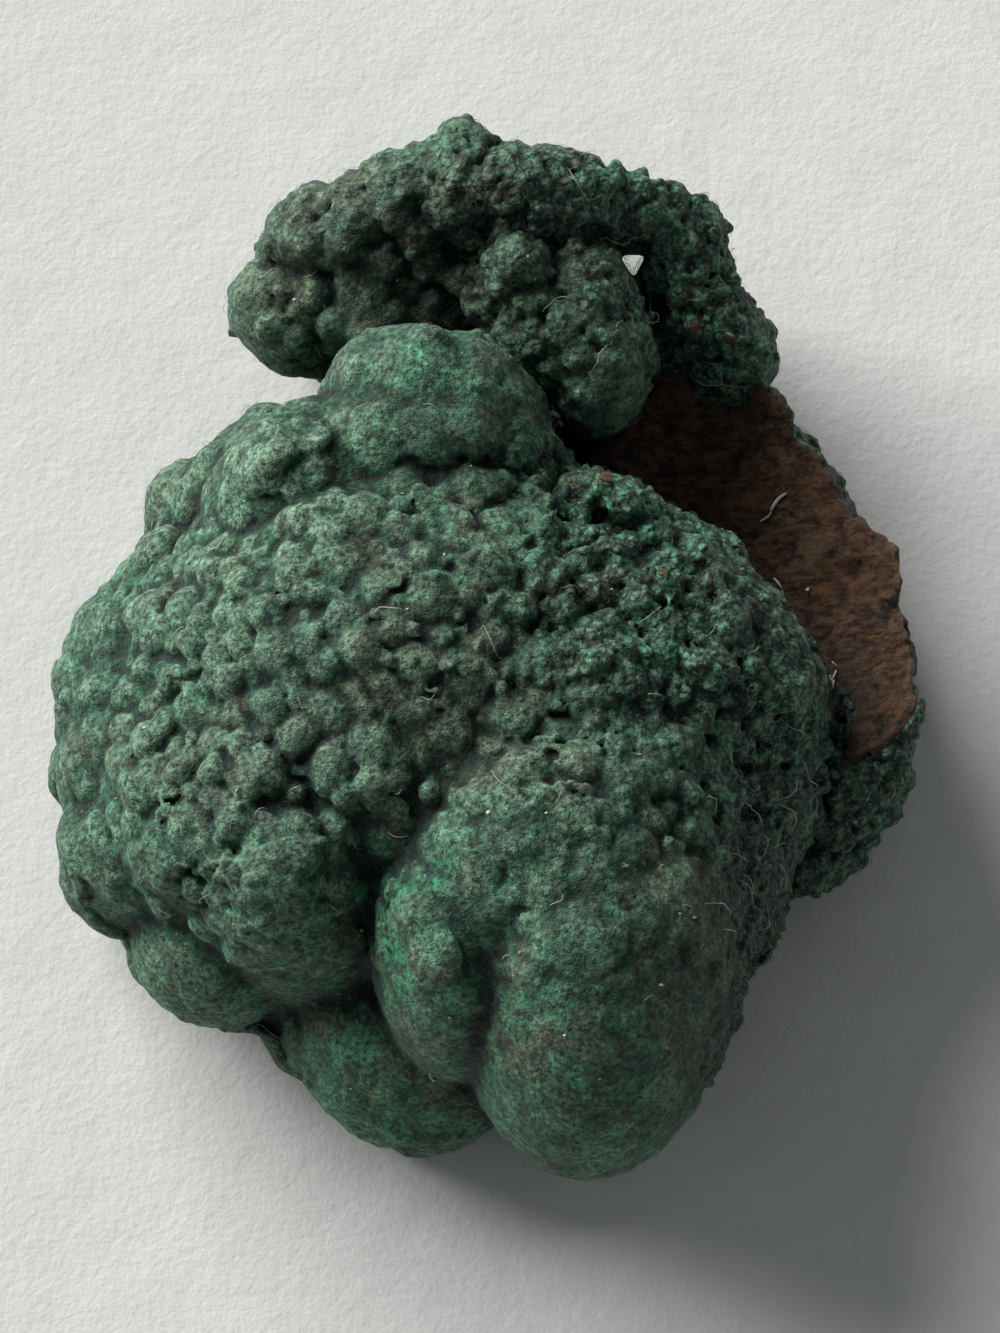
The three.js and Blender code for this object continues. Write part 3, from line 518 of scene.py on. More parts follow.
def noise(P, lam, seed):
    """Smooth value noise in -1..1 at points P (n, 3), with cell size lam (one number or three)."""
    q = (P / np.asarray(lam, F4) + F4(500.0)).astype(F4)
    i = np.floor(q)
    t = q - i
    t = t * t * (3 - 2 * t)
    i = i.astype(np.int64)
    out = np.zeros(len(P), F4)
    for dx in (0, 1):
        wx = t[:, 0] if dx else 1 - t[:, 0]
        for dy in (0, 1):
            wy = wx * (t[:, 1] if dy else 1 - t[:, 1])
            for dz in (0, 1):
                w = wy * (t[:, 2] if dz else 1 - t[:, 2])
                out += w * hash01(i[:, 0] + dx, i[:, 1] + dy, i[:, 2] + dz, seed)
    return out


def sample(g, P):
    """Trilinear value of grid g at points P in millimetres."""
    q = (P - LO) / H
    q = np.clip(q, 0, np.array(N) - 1.001)
    i = q.astype(np.int64)
    t = (q - i).astype(F4)
    out = np.zeros(len(P), F4)
    for dx in (0, 1):
        wx = t[:, 0] if dx else 1 - t[:, 0]
        for dy in (0, 1):
            wy = wx * (t[:, 1] if dy else 1 - t[:, 1])
            for dz in (0, 1):
                w = wy * (t[:, 2] if dz else 1 - t[:, 2])
                out += w * g[i[:, 0] + dx, i[:, 1] + dy, i[:, 2] + dz]
    return out


def gradient(g, P, e=0.35):
    out = np.stack([sample(g, P + e * np.eye(3)[i]) - sample(g, P - e * np.eye(3)[i]) for i in range(3)], -1)
    return out / (np.linalg.norm(out, axis=1, keepdims=True) + 1e-9)


def slope(g, P, e=0.5):
    """Steepness of the field: near 1 on plain surface, lower on sharp edges and in creases."""
    out = np.stack([sample(g, P + e * np.eye(3)[i]) - sample(g, P - e * np.eye(3)[i]) for i in range(3)], -1)
    return np.linalg.norm(out, axis=1) / (2 * e)


def regions(P, sigma=2.6):
    """Crust settings at points P, blended from the table: (n, 6)."""
    out = np.zeros((len(P), REGIONS.shape[1] - 3), F4)
    c = REGIONS[:, :3]
    for a in range(0, len(P), 100000):
        p = P[a:a + 100000]
        d2 = ((p ** 2).sum(1)[:, None] + (c ** 2).sum(1)[None] - 2 * p @ c.T).astype(F4)
        d2 -= d2.min(1, keepdims=True)
        w = np.exp(-d2 / (2 * sigma * sigma))
        out[a:a + 100000] = (w @ REGIONS[:, 3:].astype(F4)) / w.sum(1, keepdims=True)
    return out


def blur(g, cells, rounds=2):
    """Box blur of a grid, the box 2*cells+1 wide."""
    for _ in range(rounds):
        for ax in range(3):
            c = np.cumsum(g, axis=ax, dtype=np.float64)
            n = g.shape[ax]
            hi_i = np.minimum(np.arange(n) + cells, n - 1)
            lo_i = np.arange(n) - cells - 1
            top = np.take(c, hi_i, axis=ax)
            low = np.take(c, np.maximum(lo_i, 0), axis=ax)
            shape = [1, 1, 1]
            shape[ax] = n
            low *= (lo_i >= 0).reshape(shape)
            cnt = (hi_i - np.maximum(lo_i, -1)).reshape(shape)
            g = ((top - low) / cnt).astype(F4)
    return g


# ---------------------------------------------------------------- crust
def band(f, width):
    i = np.nonzero(np.abs(f) < width)
    P = np.stack([AX[0][i[0]], AX[1][i[1]], AX[2][i[2]]], -1).astype(F4)
    return i, P


def crust():
    f0, green, bowl = macro()
    # the brown face of the bowl: no pebbles there
    def brown_at(P):
        return np.clip((0.75 - np.abs(sample(bowl, P))) / 0.3, 0, 1) * np.clip((sample(green, P) - 0.3) / 0.3, 0, 1)

    note("macro")
    i0, P0 = band(f0, 1.9)
    reg = regions(P0)
    brown0 = brown_at(P0)
    size, rise, grit = reg[:, 0], reg[:, 1], reg[:, 2]
    f = f0.copy()
    f[i0] += ((0.50 * rise * size + 0.50 * grit) * (1 - brown0)).astype(F4)

    # warped coordinates give every pebble an irregular outline
    W = []
    for ax in range(3):
        g = np.broadcast_to((GX, GY, GZ)[ax], N).astype(F4)
        amp = np.clip(0.20 * size, 0.10, 0.30)
        g[i0] += amp * noise(P0, 2.1, 11 + ax) + 0.25 * amp * noise(P0, 0.9, 21 + ax)
        W.append(g)

    note("warp")
    tint = np.zeros(N, F4)
    covered = np.zeros(N, F4)
    EC = 0.4
    en = [int(math.ceil((AX[i][-1] - LO[i]) / EC)) + 2 for i in range(3)]
    E = np.full(en, 9.0, F4)
    ex = [(LO[i] + EC * np.arange(en[i])).astype(F4) for i in range(3)]

    def stamp(p, r, k):
        R = k * (r + 2.6)
        s = []
        for i in range(3):
            a = max(0, int((p[i] - R - LO[i]) / EC))
            s.append(slice(a, min(en[i], int((p[i] + R - LO[i]) / EC) + 2)))
        s = tuple(s)
        d = np.sqrt((ex[0][s[0]][:, None, None] - p[0]) ** 2 + (ex[1][s[1]][None, :, None] - p[1]) ** 2
                    + (ex[2][s[2]][None, None, :] - p[2]) ** 2) - k * r
        E[s] = np.minimum(E[s], d)

    def pebble(p, n, a, b, top, k, t):
        """A rounded pebble on surface point p: half-width a, half-height b along n, its top at height top."""
        c = p + n * (top - b)
        s = window(c, a + 0.8)
        if any(q.stop <= q.start for q in s):
            return
        dx, dy, dz = W[0][s] - F4(c[0]), W[1][s] - F4(c[1]), W[2][s] - F4(c[2])
        dn = dx * F4(n[0]) + dy * F4(n[1]) + dz * F4(n[2])
        l2 = np.maximum(dx * dx + dy * dy + dz * dz - dn * dn, 0)
        a, b = F4(a), F4(b)
        k0 = np.sqrt(l2 / (a * a) + dn * dn / (b * b)) + F4(1e-5)
        k1 = np.sqrt(l2 / a ** 4 + dn * dn / b ** 4) + F4(1e-5)
        d = k0 * (k0 - 1) / k1
        g = f[s]
        tint[s] = np.where(d < g, F4(t), tint[s])
        covered[s] = np.where(d < np.minimum(g, 0.3), F4(1), covered[s])
        f[s] = smin(g, d, k)

    def half_height(a, h):
        return a * float(np.clip(0.18 + 1.15 * h, 0.24, 1.0))

    K = 0.80
    # measured pebbles, pressed in so their tops keep to the measured outline
    c = PEBBLES[:, :3]
    n = gradient(f0, c)
    depth = -sample(f0, c)
    out = PEBBLES[:, 3] - depth
    brown = brown_at(c + n * depth[:, None])
    for q in range(len(c)):
        if brown[q] > 0.5:
            continue
        cap = math.sqrt(max(PEBBLES[q, 3] ** 2 - depth[q] ** 2, 0.2))
        at = c[q] + n[q] * depth[q]
        h = min(out[q] / cap, 0.9)
        pebble(at, n[q], cap * 1.06, half_height(cap, h), (0.50 + 0.22 * h) * h * cap, 0.12, RNG.uniform(-1, 1))
        stamp(at, cap, K)

    # procedural pebbles fill the rest, large to small
    ic, PC = band(f0, 0.75 * H)
    keep = (PC[:, 2] > -0.2) & (RNG.random(len(PC)) < 0.75)
    PC = PC[keep]
    RC = regions(PC)
    BC = brown_at(PC)
    NC, steep = gradient(f0, PC), slope(f0, PC)
    ok = (BC < 0.3) & (NC[:, 2] > -0.95) & (RC[:, 1] > 0.13) & (steep > 0.76)
    PC, RC, NC = PC[ok], RC[ok], NC[ok]
    PC = PC - NC * sample(f0, PC)[:, None]
    total = 0
    for mult, kk in ((1.4, K), (1.0, K), (0.62, 0.80), (0.38, 0.80)):
        if mult < 0.9:
            fill = RNG.random(len(PC)) < np.clip(0.45 + 1.6 * RC[:, 2], 0, 1)
        else:
            fill = np.ones(len(PC), bool)
        s = np.clip(RC[:, 0] * mult * RNG.uniform(0.65, 1.35, len(PC)), 0.38, 3.2)
        ei = np.round((PC - LO) / EC).astype(int)
        cand = np.nonzero(E[ei[:, 0], ei[:, 1], ei[:, 2]] > np.where(fill, kk * s, 99))[0]
        RNG.shuffle(cand)
        for q in cand:
            e = ei[q]
            if E[e[0], e[1], e[2]] <= kk * s[q]:
                continue
            h = float(np.clip(RC[q, 1] * RNG.uniform(0.75, 1.3), 0.05, 0.85))
            sq = float(s[q])
            top = h * sq * (0.44 if mult > 0.9 else 0.16 + 0.2 * float(RC[q, 2]))
            pebble(PC[q], NC[q], sq * 1.06, half_height(sq, h), top, min(0.14, 0.4 * h * sq), RNG.uniform(-1, 1))
            stamp(PC[q], sq, kk)
            total += 1
    note("pebbles", total + len(PEBBLES))

    # drusy grains on the rough parts
    ig, PG = band(f, 0.6 * H)
    RG = regions(PG)
    pick = (PG[:, 2] > 0.1) & (RNG.random(len(PG)) < np.clip(RG[:, 2] * 0.22 - 0.022, 0, 1)) & (brown_at(PG) < 0.3)
    PG = PG[pick]
    NG = gradient(f, PG)
    for q in range(len(PG)):
        r = RNG.uniform(0.26, 0.46)
        pebble(PG[q], NG[q], r, r * 0.9, r * RNG.uniform(0.2, 0.6), 0.08, RNG.uniform(-1, 1))
    note("grains", len(PG))

    # the brown face stays clear of the pebbles round its edge
    f = np.maximum(f, -np.maximum(bowl, 0.8 - green))

    # surface texture
    i1, P1 = band(f, 0.8)
    r1 = regions(P1)
    b1 = brown_at(P1)
    rough = (0.75 + 1.1 * r1[:, 2]) * (1 - b1)
    f[i1] += rough * (0.13 * noise(P1, 0.55, 31) + 0.12 * noise(P1, 1.0, 32) * (0.4 + r1[:, 1]) + 0.10 * noise(P1, 1.7, 34) * r1[:, 1])
    f[i1] += (1 - b1) * 0.05 * noise(P1, 2.6, 33)
    # striations and flaking on the brown face, running upper right to lower left
    a = math.radians(52)
    S = np.stack([math.cos(a) * P1[:, 0] + math.sin(a) * P1[:, 1], -math.sin(a) * P1[:, 0] + math.cos(a) * P1[:, 1], P1[:, 2]], -1).astype(F4)
    S[:, 1] += 0.5 * noise(P1, 3.0, 41)
    st = 0.10 * noise(S, (4.0, 1.1, 3.0), 42) + 0.16 * noise(S, (1.9, 0.7, 1.2), 43) + 0.24 * noise(P1, 2.2, 44) + 0.24 * noise(P1, 0.62, 45)
    flake = np.clip(noise(S, (4.5, 2.3, 3.0), 46) * 5, -1, 1)
    f[i1] += b1 * (st + 0.16 * flake)

    # the small pinhole through the rim, three-cornered
    p0, p1 = np.array(PIN[0]), np.array(PIN[1])
    ax = (p1 - p0) / np.linalg.norm(p1 - p0)
    u = np.cross(ax, (0, 1, 0)); u /= np.linalg.norm(u)
    v = np.cross(u, ax)
    if v[1] < 0:
        v = -v
    rel = [GX - F4(p0[0]), GY - F4(p0[1]), GZ - F4(p0[2])]
    s = window(((p0 + p1) / 2), (3, 5, 30))
    du = (rel[0][s[0]] * u[0] + rel[1][:, s[1]] * u[1] + rel[2][:, :, s[2]] * u[2])
    dv = (rel[0][s[0]] * v[0] + rel[1][:, s[1]] * v[1] + rel[2][:, :, s[2]] * v[2])
    tri = np.maximum.reduce([dv - 0.42, -0.5 * dv + 0.8 * du - 0.50, -0.45 * dv - 0.85 * du - 0.42]).astype(F4)
    f[s] = np.maximum(f[s], -tri)
    f = np.maximum(f, -GZ)
    return f, tint, lambda P: brown_at(P) * np.clip(1.3 - 1.5 * sample(covered, P) * (sample(green, P) < 0.9), 0, 1), green


def mesh_of(f):
    g = openvdb.FloatGrid(3.0)
    g.copyFromArray(np.ascontiguousarray(np.clip(f, -3, 3), dtype=F4))
    pts, quads = g.convertToQuads(0.0)
    pts = LO + H * np.asarray(pts, np.float64)
    quads = np.asarray(quads, np.int64)
    t = np.concatenate([quads[:, [0, 1, 2]], quads[:, [0, 2, 3]]])
    vol = np.einsum("ij,ij->i", pts[t[:, 0]], np.cross(pts[t[:, 1]], pts[t[:, 2]])).sum() / 6
    if vol < 0:
        quads = quads[:, ::-1]
    # keep the one largest body
    lab = np.arange(len(pts))
    e = np.concatenate([quads[:, [0, 1]], quads[:, [1, 2]], quads[:, [2, 3]], quads[:, [3, 0]]])
    while True:
        m = np.minimum(lab[e[:, 0]], lab[e[:, 1]])
        new = lab.copy()
        np.minimum.at(new, e[:, 0], m)
        np.minimum.at(new, e[:, 1], m)
        new = new[new]
        new = new[new]
        if (new == lab).all():
            break
        lab = new
    big = np.bincount(lab[quads[:, 0]]).argmax()
    quads = quads[lab[quads[:, 0]] == big]
    used = np.unique(quads)
    back = np.full(len(pts), -1)
    back[used] = np.arange(len(used))
    pts, quads = pts[used], back[quads]
    pts[np.abs(pts[:, 2]) < 0.06, 2] = 0.0
    note("mesh", len(pts), len(quads), "volume", abs(vol))
    return pts, quads


def reduce_mesh(pts, quads, target):
    me = bpy.data.meshes.new("raw")
    me.vertices.add(len(pts))
    me.vertices.foreach_set("co", pts.astype(F4).ravel())
    me.loops.add(quads.size)
    me.loops.foreach_set("vertex_index", quads.astype(np.int32).ravel())
    me.polygons.add(len(quads))
    me.polygons.foreach_set("loop_start", np.arange(0, quads.size, 4, dtype=np.int32))
    me.update(calc_edges=True)
    ob = bpy.data.objects.new("raw", me)
    bpy.context.scene.collection.objects.link(ob)
    mod = ob.modifiers.new("reduce", "DECIMATE")
    mod.ratio = min(1.0, target / (2.0 * len(quads)))
    dg = bpy.context.evaluated_depsgraph_get()
    dg.update()
    out = bpy.data.meshes.new_from_object(ob.evaluated_get(dg))
    bpy.data.objects.remove(ob)
    bpy.data.meshes.remove(me)
    return out


def attribute(me, name, values):
    a = me.attributes.new(name, "FLOAT", "POINT")
    a.data.foreach_set("value", np.asarray(values, F4))


def specimen():
    f, tint, brown_at, green = crust()
    pts, quads = mesh_of(f)
    me = reduce_mesh(pts, quads, 196000)
    n = len(me.vertices)
    co = np.empty(n * 3, F4)
    me.vertices.foreach_get("co", co)
    co = co.reshape(-1, 3)
    co[np.abs(co[:, 2]) < 0.06, 2] = 0.0
    co[:, 2] = np.maximum(co[:, 2], 0.0)
    me.vertices.foreach_set("co", co.ravel())
    me.transform(Matrix.Scale(MM, 4))
    me.update()
    me.polygons.foreach_set("use_smooth", np.ones(len(me.polygons), bool))
    me.set_sharp_from_angle(angle=math.radians(75))
    P = co.astype(np.float64)
    r = regions(P)
    fine = blur(f, max(1, int(round(0.3 / H))))
    wide = blur(f, int(round(1.1 / H)))
    attribute(me, "cav_fine", np.clip(-sample(fine, P) / 0.16, -1, 1))
    attribute(me, "cav_wide", np.clip(-sample(wide, P) / 0.55, -1, 1))
    attribute(me, "tint", sample(tint, P))
    attribute(me, "grain", r[:, 2])
    attribute(me, "dust", r[:, 3])
    attribute(me, "dark", r[:, 4])
    attribute(me, "vivid", r[:, 5])
    attribute(me, "brown", brown_at(P))
    # closeness to the green mass, carrying the painted shadow of the main mass on the brown face
    attribute(me, "deep_shade", np.clip(1.0 - sample(green, P) / 7.0, 0, 1))
    attribute(me, "cutface", (co[:, 2] < 0.02).astype(F4))
    me.name = "malachite"
    ob = bpy.data.objects.new("malachite", me)
    bpy.context.scene.collection.objects.link(ob)
    note("triangles", sum(len(p.vertices) - 2 for p in me.polygons))
    return ob, f, brown_at


# ---------------------------------------------------------------- lint and crumbs
def settle(P, f, height, steps=6):
    """Move points along the field until they stand at the given height off the crust."""
    P = P.copy()
    for _ in range(steps):
        n = gradient(f, P, 0.5)
        P -= n * np.clip(sample(f, P) - height, -0.6, 0.6)[:, None]
    return P


def tubes(paths, radii, sides):
    """Tapered tubes along paths (m, k, 3), as vertices and quads."""
    m, k, _ = paths.shape
    t = np.gradient(paths, axis=1)
    t /= np.linalg.norm(t, axis=2, keepdims=True) + 1e-9
    up = np.where(np.abs(t[..., 2:3]) < 0.9, np.array([0, 0, 1.0]), np.array([1.0, 0, 0]))
    u = np.cross(t, up)
    u /= np.linalg.norm(u, axis=2, keepdims=True) + 1e-9
    v = np.cross(t, u)
    taper = 0.25 + 0.75 * np.sin(np.linspace(0.12, math.pi - 0.12, k)) ** 0.6
    ang = 2 * math.pi * np.arange(sides) / sides
    r = (radii[:, None] * taper[None])[:, :, None, None]
    ring = paths[:, :, None] + r * (np.cos(ang)[None, None, :, None] * u[:, :, None] + np.sin(ang)[None, None, :, None] * v[:, :, None])
    verts = ring.reshape(-1, 3)
    base = (np.arange(m)[:, None, None] * k + np.arange(k - 1)[None, :, None]) * sides
    j = np.arange(sides)[None, None, :]
    j2 = (j + 1) % sides
    quads = np.stack([base + j, base + j2, base + sides + j2, base + sides + j], -1).reshape(-1, 4)
    caps = []
    first = np.arange(m) * k * sides
    for q in range(1, sides - 1):
        caps.append(np.stack([first, first + q + 1, first + q], -1))
        last = first + (k - 1) * sides
        caps.append(np.stack([last, last + q, last + q + 1], -1))
    return verts, quads.tolist() + np.concatenate(caps).tolist()


def joined_mesh(name, parts, mat):
    verts, faces, off = [], [], 0
    for v, fc in parts:
        verts.append(np.asarray(v))
        faces += [[i + off for i in q] for q in fc]
        off += len(v)
    verts = np.concatenate(verts)
    verts[:, 2] = np.maximum(verts[:, 2], 0.05)
    me = bpy.data.meshes.new(name)
    me.from_pydata((verts * MM).tolist(), [], faces)
    me.polygons.foreach_set("use_smooth", np.ones(len(me.polygons), bool))
    me.materials.append(mat)
    ob = bpy.data.objects.new(name, me)
    bpy.context.scene.collection.objects.link(ob)
    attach(ob, "root")
    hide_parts("malachite_specimen")
    note(name, sum(len(p.vertices) - 2 for p in me.polygons))
    return ob


def strands(a, b, sag, lift, f, k, rng):
    """Paths from a to b (m, 3), bent sideways and lifted off the crust."""
    s = np.linspace(0, 1, k)
    P = a[:, None] * (1 - s)[None, :, None] + b[:, None] * s[None, :, None]
    d = b - a
    side = np.cross(d, gradient(f, a, 0.5))
    side /= np.linalg.norm(side, axis=1, keepdims=True) + 1e-9
    bend = np.sin(math.pi * s)[None] + 0.5 * rng.uniform(-1, 1, (len(a), 1)) * np.sin(2 * math.pi * s)[None]
    P = P + (sag[:, None] * bend)[:, :, None] * side[:, None]
    h = 0.03 + lift[:, None] * np.sin(math.pi * np.clip(s * 0.9 + 0.05, 0, 1))[None]
    return settle(P.reshape(-1, 3), f, h.ravel()).reshape(P.shape)


def lint_mesh(f, mat):
    rng = np.random.default_rng(7)
    row = np.array(FIBRES)
    paths = strands(row[:, :3], row[:, 3:6], row[:, 6] * rng.choice([-1, 1], len(row)), row[:, 7], f, 11, rng)
    parts = [tubes(paths, row[:, 8], 6)]
    ico = [(0, 0, 1), (0, 0, -1), (0.89, 0, 0.45), (0.28, 0.85, 0.45), (-0.72, 0.53, 0.45), (-0.72, -0.53, 0.45), (0.28, -0.85, 0.45),
           (0.72, 0.53, -0.45), (-0.28, 0.85, -0.45), (-0.89, 0, -0.45), (-0.28, -0.85, -0.45), (0.72, -0.53, -0.45)]
    tri = [(0, 2, 3), (0, 3, 4), (0, 4, 5), (0, 5, 6), (0, 6, 2), (2, 7, 3), (3, 8, 4), (4, 9, 5), (5, 10, 6), (6, 11, 2),
           (7, 8, 3), (8, 9, 4), (9, 10, 5), (10, 11, 6), (11, 7, 2), (1, 8, 7), (1, 9, 8), (1, 10, 9), (1, 11, 10), (1, 7, 11)]
    at = np.array(CRUMBS)
    c = settle(at[:, :3], f, 0.3 * at[:, 3])
    for q in range(len(c)):
        v = np.array(ico) * at[q, 3] * rng.uniform(0.6, 1.2, (12, 1)) * np.array([rng.uniform(0.8, 1.6), rng.uniform(0.7, 1.2), 0.7])
        parts.append((c[q] + v, tri))
    return joined_mesh("lint", parts, mat)


def fuzz_mesh(f, brown_at, mat):
    """Short fine threads over the velvety and gritty parts of the crust."""
    rng = np.random.default_rng(11)
    ig, P = band(f, 0.5 * H)
    r = regions(P)
    up = gradient(f, P)[:, 2]
    want = (0.25 * r[:, 4] ** 2 + 0.10 * r[:, 2] + 0.01) * (P[:, 2] > 1.0) * (up > -0.2) * (brown_at(P) < 0.2)
    want = want / want.sum()
    m = 2600
    pick = rng.choice(len(P), m, replace=False, p=want)
    a = P[pick]
    n = gradient(f, a)
    d = np.cross(n, rng.normal(size=(m, 3)))
    d /= np.linalg.norm(d, axis=1, keepdims=True) + 1e-9
    ln = rng.uniform(0.35, 1.25, m)
    b = a + d * ln[:, None]
    paths = strands(a, b, rng.uniform(-0.25, 0.25, m) * ln, rng.uniform(0.03, 0.28, m), f, 6, rng)
    return joined_mesh("fuzz", [tubes(paths, rng.uniform(0.008, 0.016, m), 3)], mat)


def thread_material(name, light, dull):
    m = Nodes(name)
    c = m.mix(m.ramp(m.noise(1.3, 2, 0.5, offset=5), 0.40, 0.60), dull, light)
    m.put(m.bsdf.inputs["Base Color"], c)
    m.bsdf.inputs["Roughness"].default_value = 0.6
    return m.mat


# ---------------------------------------------------------------- materials
class Nodes:
    """Small helper for writing node trees."""

    def __init__(self, name):
        self.mat = bpy.data.materials.new(name)
        self.mat.use_nodes = True
        self.t = self.mat.node_tree
        self.t.nodes.clear()
        self.out = self.t.nodes.new("ShaderNodeOutputMaterial")
        self.bsdf = self.t.nodes.new("ShaderNodeBsdfPrincipled")
        self.t.links.new(self.bsdf.outputs[0], self.out.inputs[0])
        tc = self.t.nodes.new("ShaderNodeTexCoord")
        sc = self.t.nodes.new("ShaderNodeVectorMath")
        sc.operation = "SCALE"
        sc.inputs["Scale"].default_value = 1000.0
        self.t.links.new(tc.outputs["Object"], sc.inputs[0])
        self.mm = sc.outputs[0]

    def put(self, socket, v):
        if isinstance(v, bpy.types.NodeSocket):
            self.t.links.new(v, socket)
        elif isinstance(v, tuple) and len(v) == 3 and socket.type == "RGBA":
            socket.default_value = (*v, 1.0)
        else:
            socket.default_value = v

    def attr(self, name):
        n = self.t.nodes.new("ShaderNodeAttribute")
        n.attribute_name = name
        return n.outputs["Fac"]

    def math(self, op, a, b=0.0, c=None, clamp=False):
        n = self.t.nodes.new("ShaderNodeMath")
        n.operation = op
        n.use_clamp = clamp
        self.put(n.inputs[0], a)
        self.put(n.inputs[1], b)
        if c is not None:
            self.put(n.inputs[2], c)
        return n.outputs[0]

    def add(self, *v):
        out = v[0]
        for x in v[1:]:
            out = self.math("ADD", out, x)
        return out

    def mul(self, *v):
        out = v[0]
        for x in v[1:]:
            out = self.math("MULTIPLY", out, x)
        return out

    def ramp(self, x, a, b, lo=0.0, hi=1.0):
        n = self.t.nodes.new("ShaderNodeMapRange")
        n.interpolation_type = "SMOOTHSTEP"
        self.put(n.inputs["Value"], x)
        n.inputs["From Min"].default_value = a
        n.inputs["From Max"].default_value = b
        n.inputs["To Min"].default_value = lo
        n.inputs["To Max"].default_value = hi
        return n.outputs[0]

    def noise(self, lam, detail=3.0, rough=0.55, vec=None, offset=0.0):
        v = vec or self.mm
        if offset:
            o = self.t.nodes.new("ShaderNodeVectorMath")
            o.operation = "ADD"
            self.put(o.inputs[0], v)
            o.inputs[1].default_value = (offset, offset * 0.7, -offset)
            v = o.outputs[0]
        n = self.t.nodes.new("ShaderNodeTexNoise")
        n.inputs["Scale"].default_value = 1.0 / lam
        n.inputs["Detail"].default_value = detail
        n.inputs["Roughness"].default_value = rough
        self.put(n.inputs["Vector"], v)
        return n.outputs["Fac"]

    def stretch(self, angle, scale):
        """Coordinates turned by angle about z, then scaled per axis."""
        m = self.t.nodes.new("ShaderNodeMapping")
        m.vector_type = "POINT"
        m.inputs["Rotation"].default_value = (0, 0, angle)
        m.inputs["Scale"].default_value = scale
        self.put(m.inputs["Vector"], self.mm)
        return m.outputs[0]

    def cells(self, lam, feature="F1"):
        n = self.t.nodes.new("ShaderNodeTexVoronoi")
        n.feature = feature
        n.inputs["Scale"].default_value = 1.0 / lam
        self.put(n.inputs["Vector"], self.mm)
        return n

    def mix(self, fac, a, b, mode="MIX"):
        n = self.t.nodes.new("ShaderNodeMix")
        n.data_type = "RGBA"
        n.blend_type = mode
        self.put(n.inputs[0], fac)
        self.put(n.inputs[6], a)
        self.put(n.inputs[7], b)
        return n.outputs[2]

    def bump(self, height, dist, strength=1.0, normal=None):
        n = self.t.nodes.new("ShaderNodeBump")
        n.inputs["Distance"].default_value = dist
        n.inputs["Strength"].default_value = strength
        self.put(n.inputs["Height"], height)
        if normal is not None:
            self.put(n.inputs["Normal"], normal)
        return n.outputs[0]


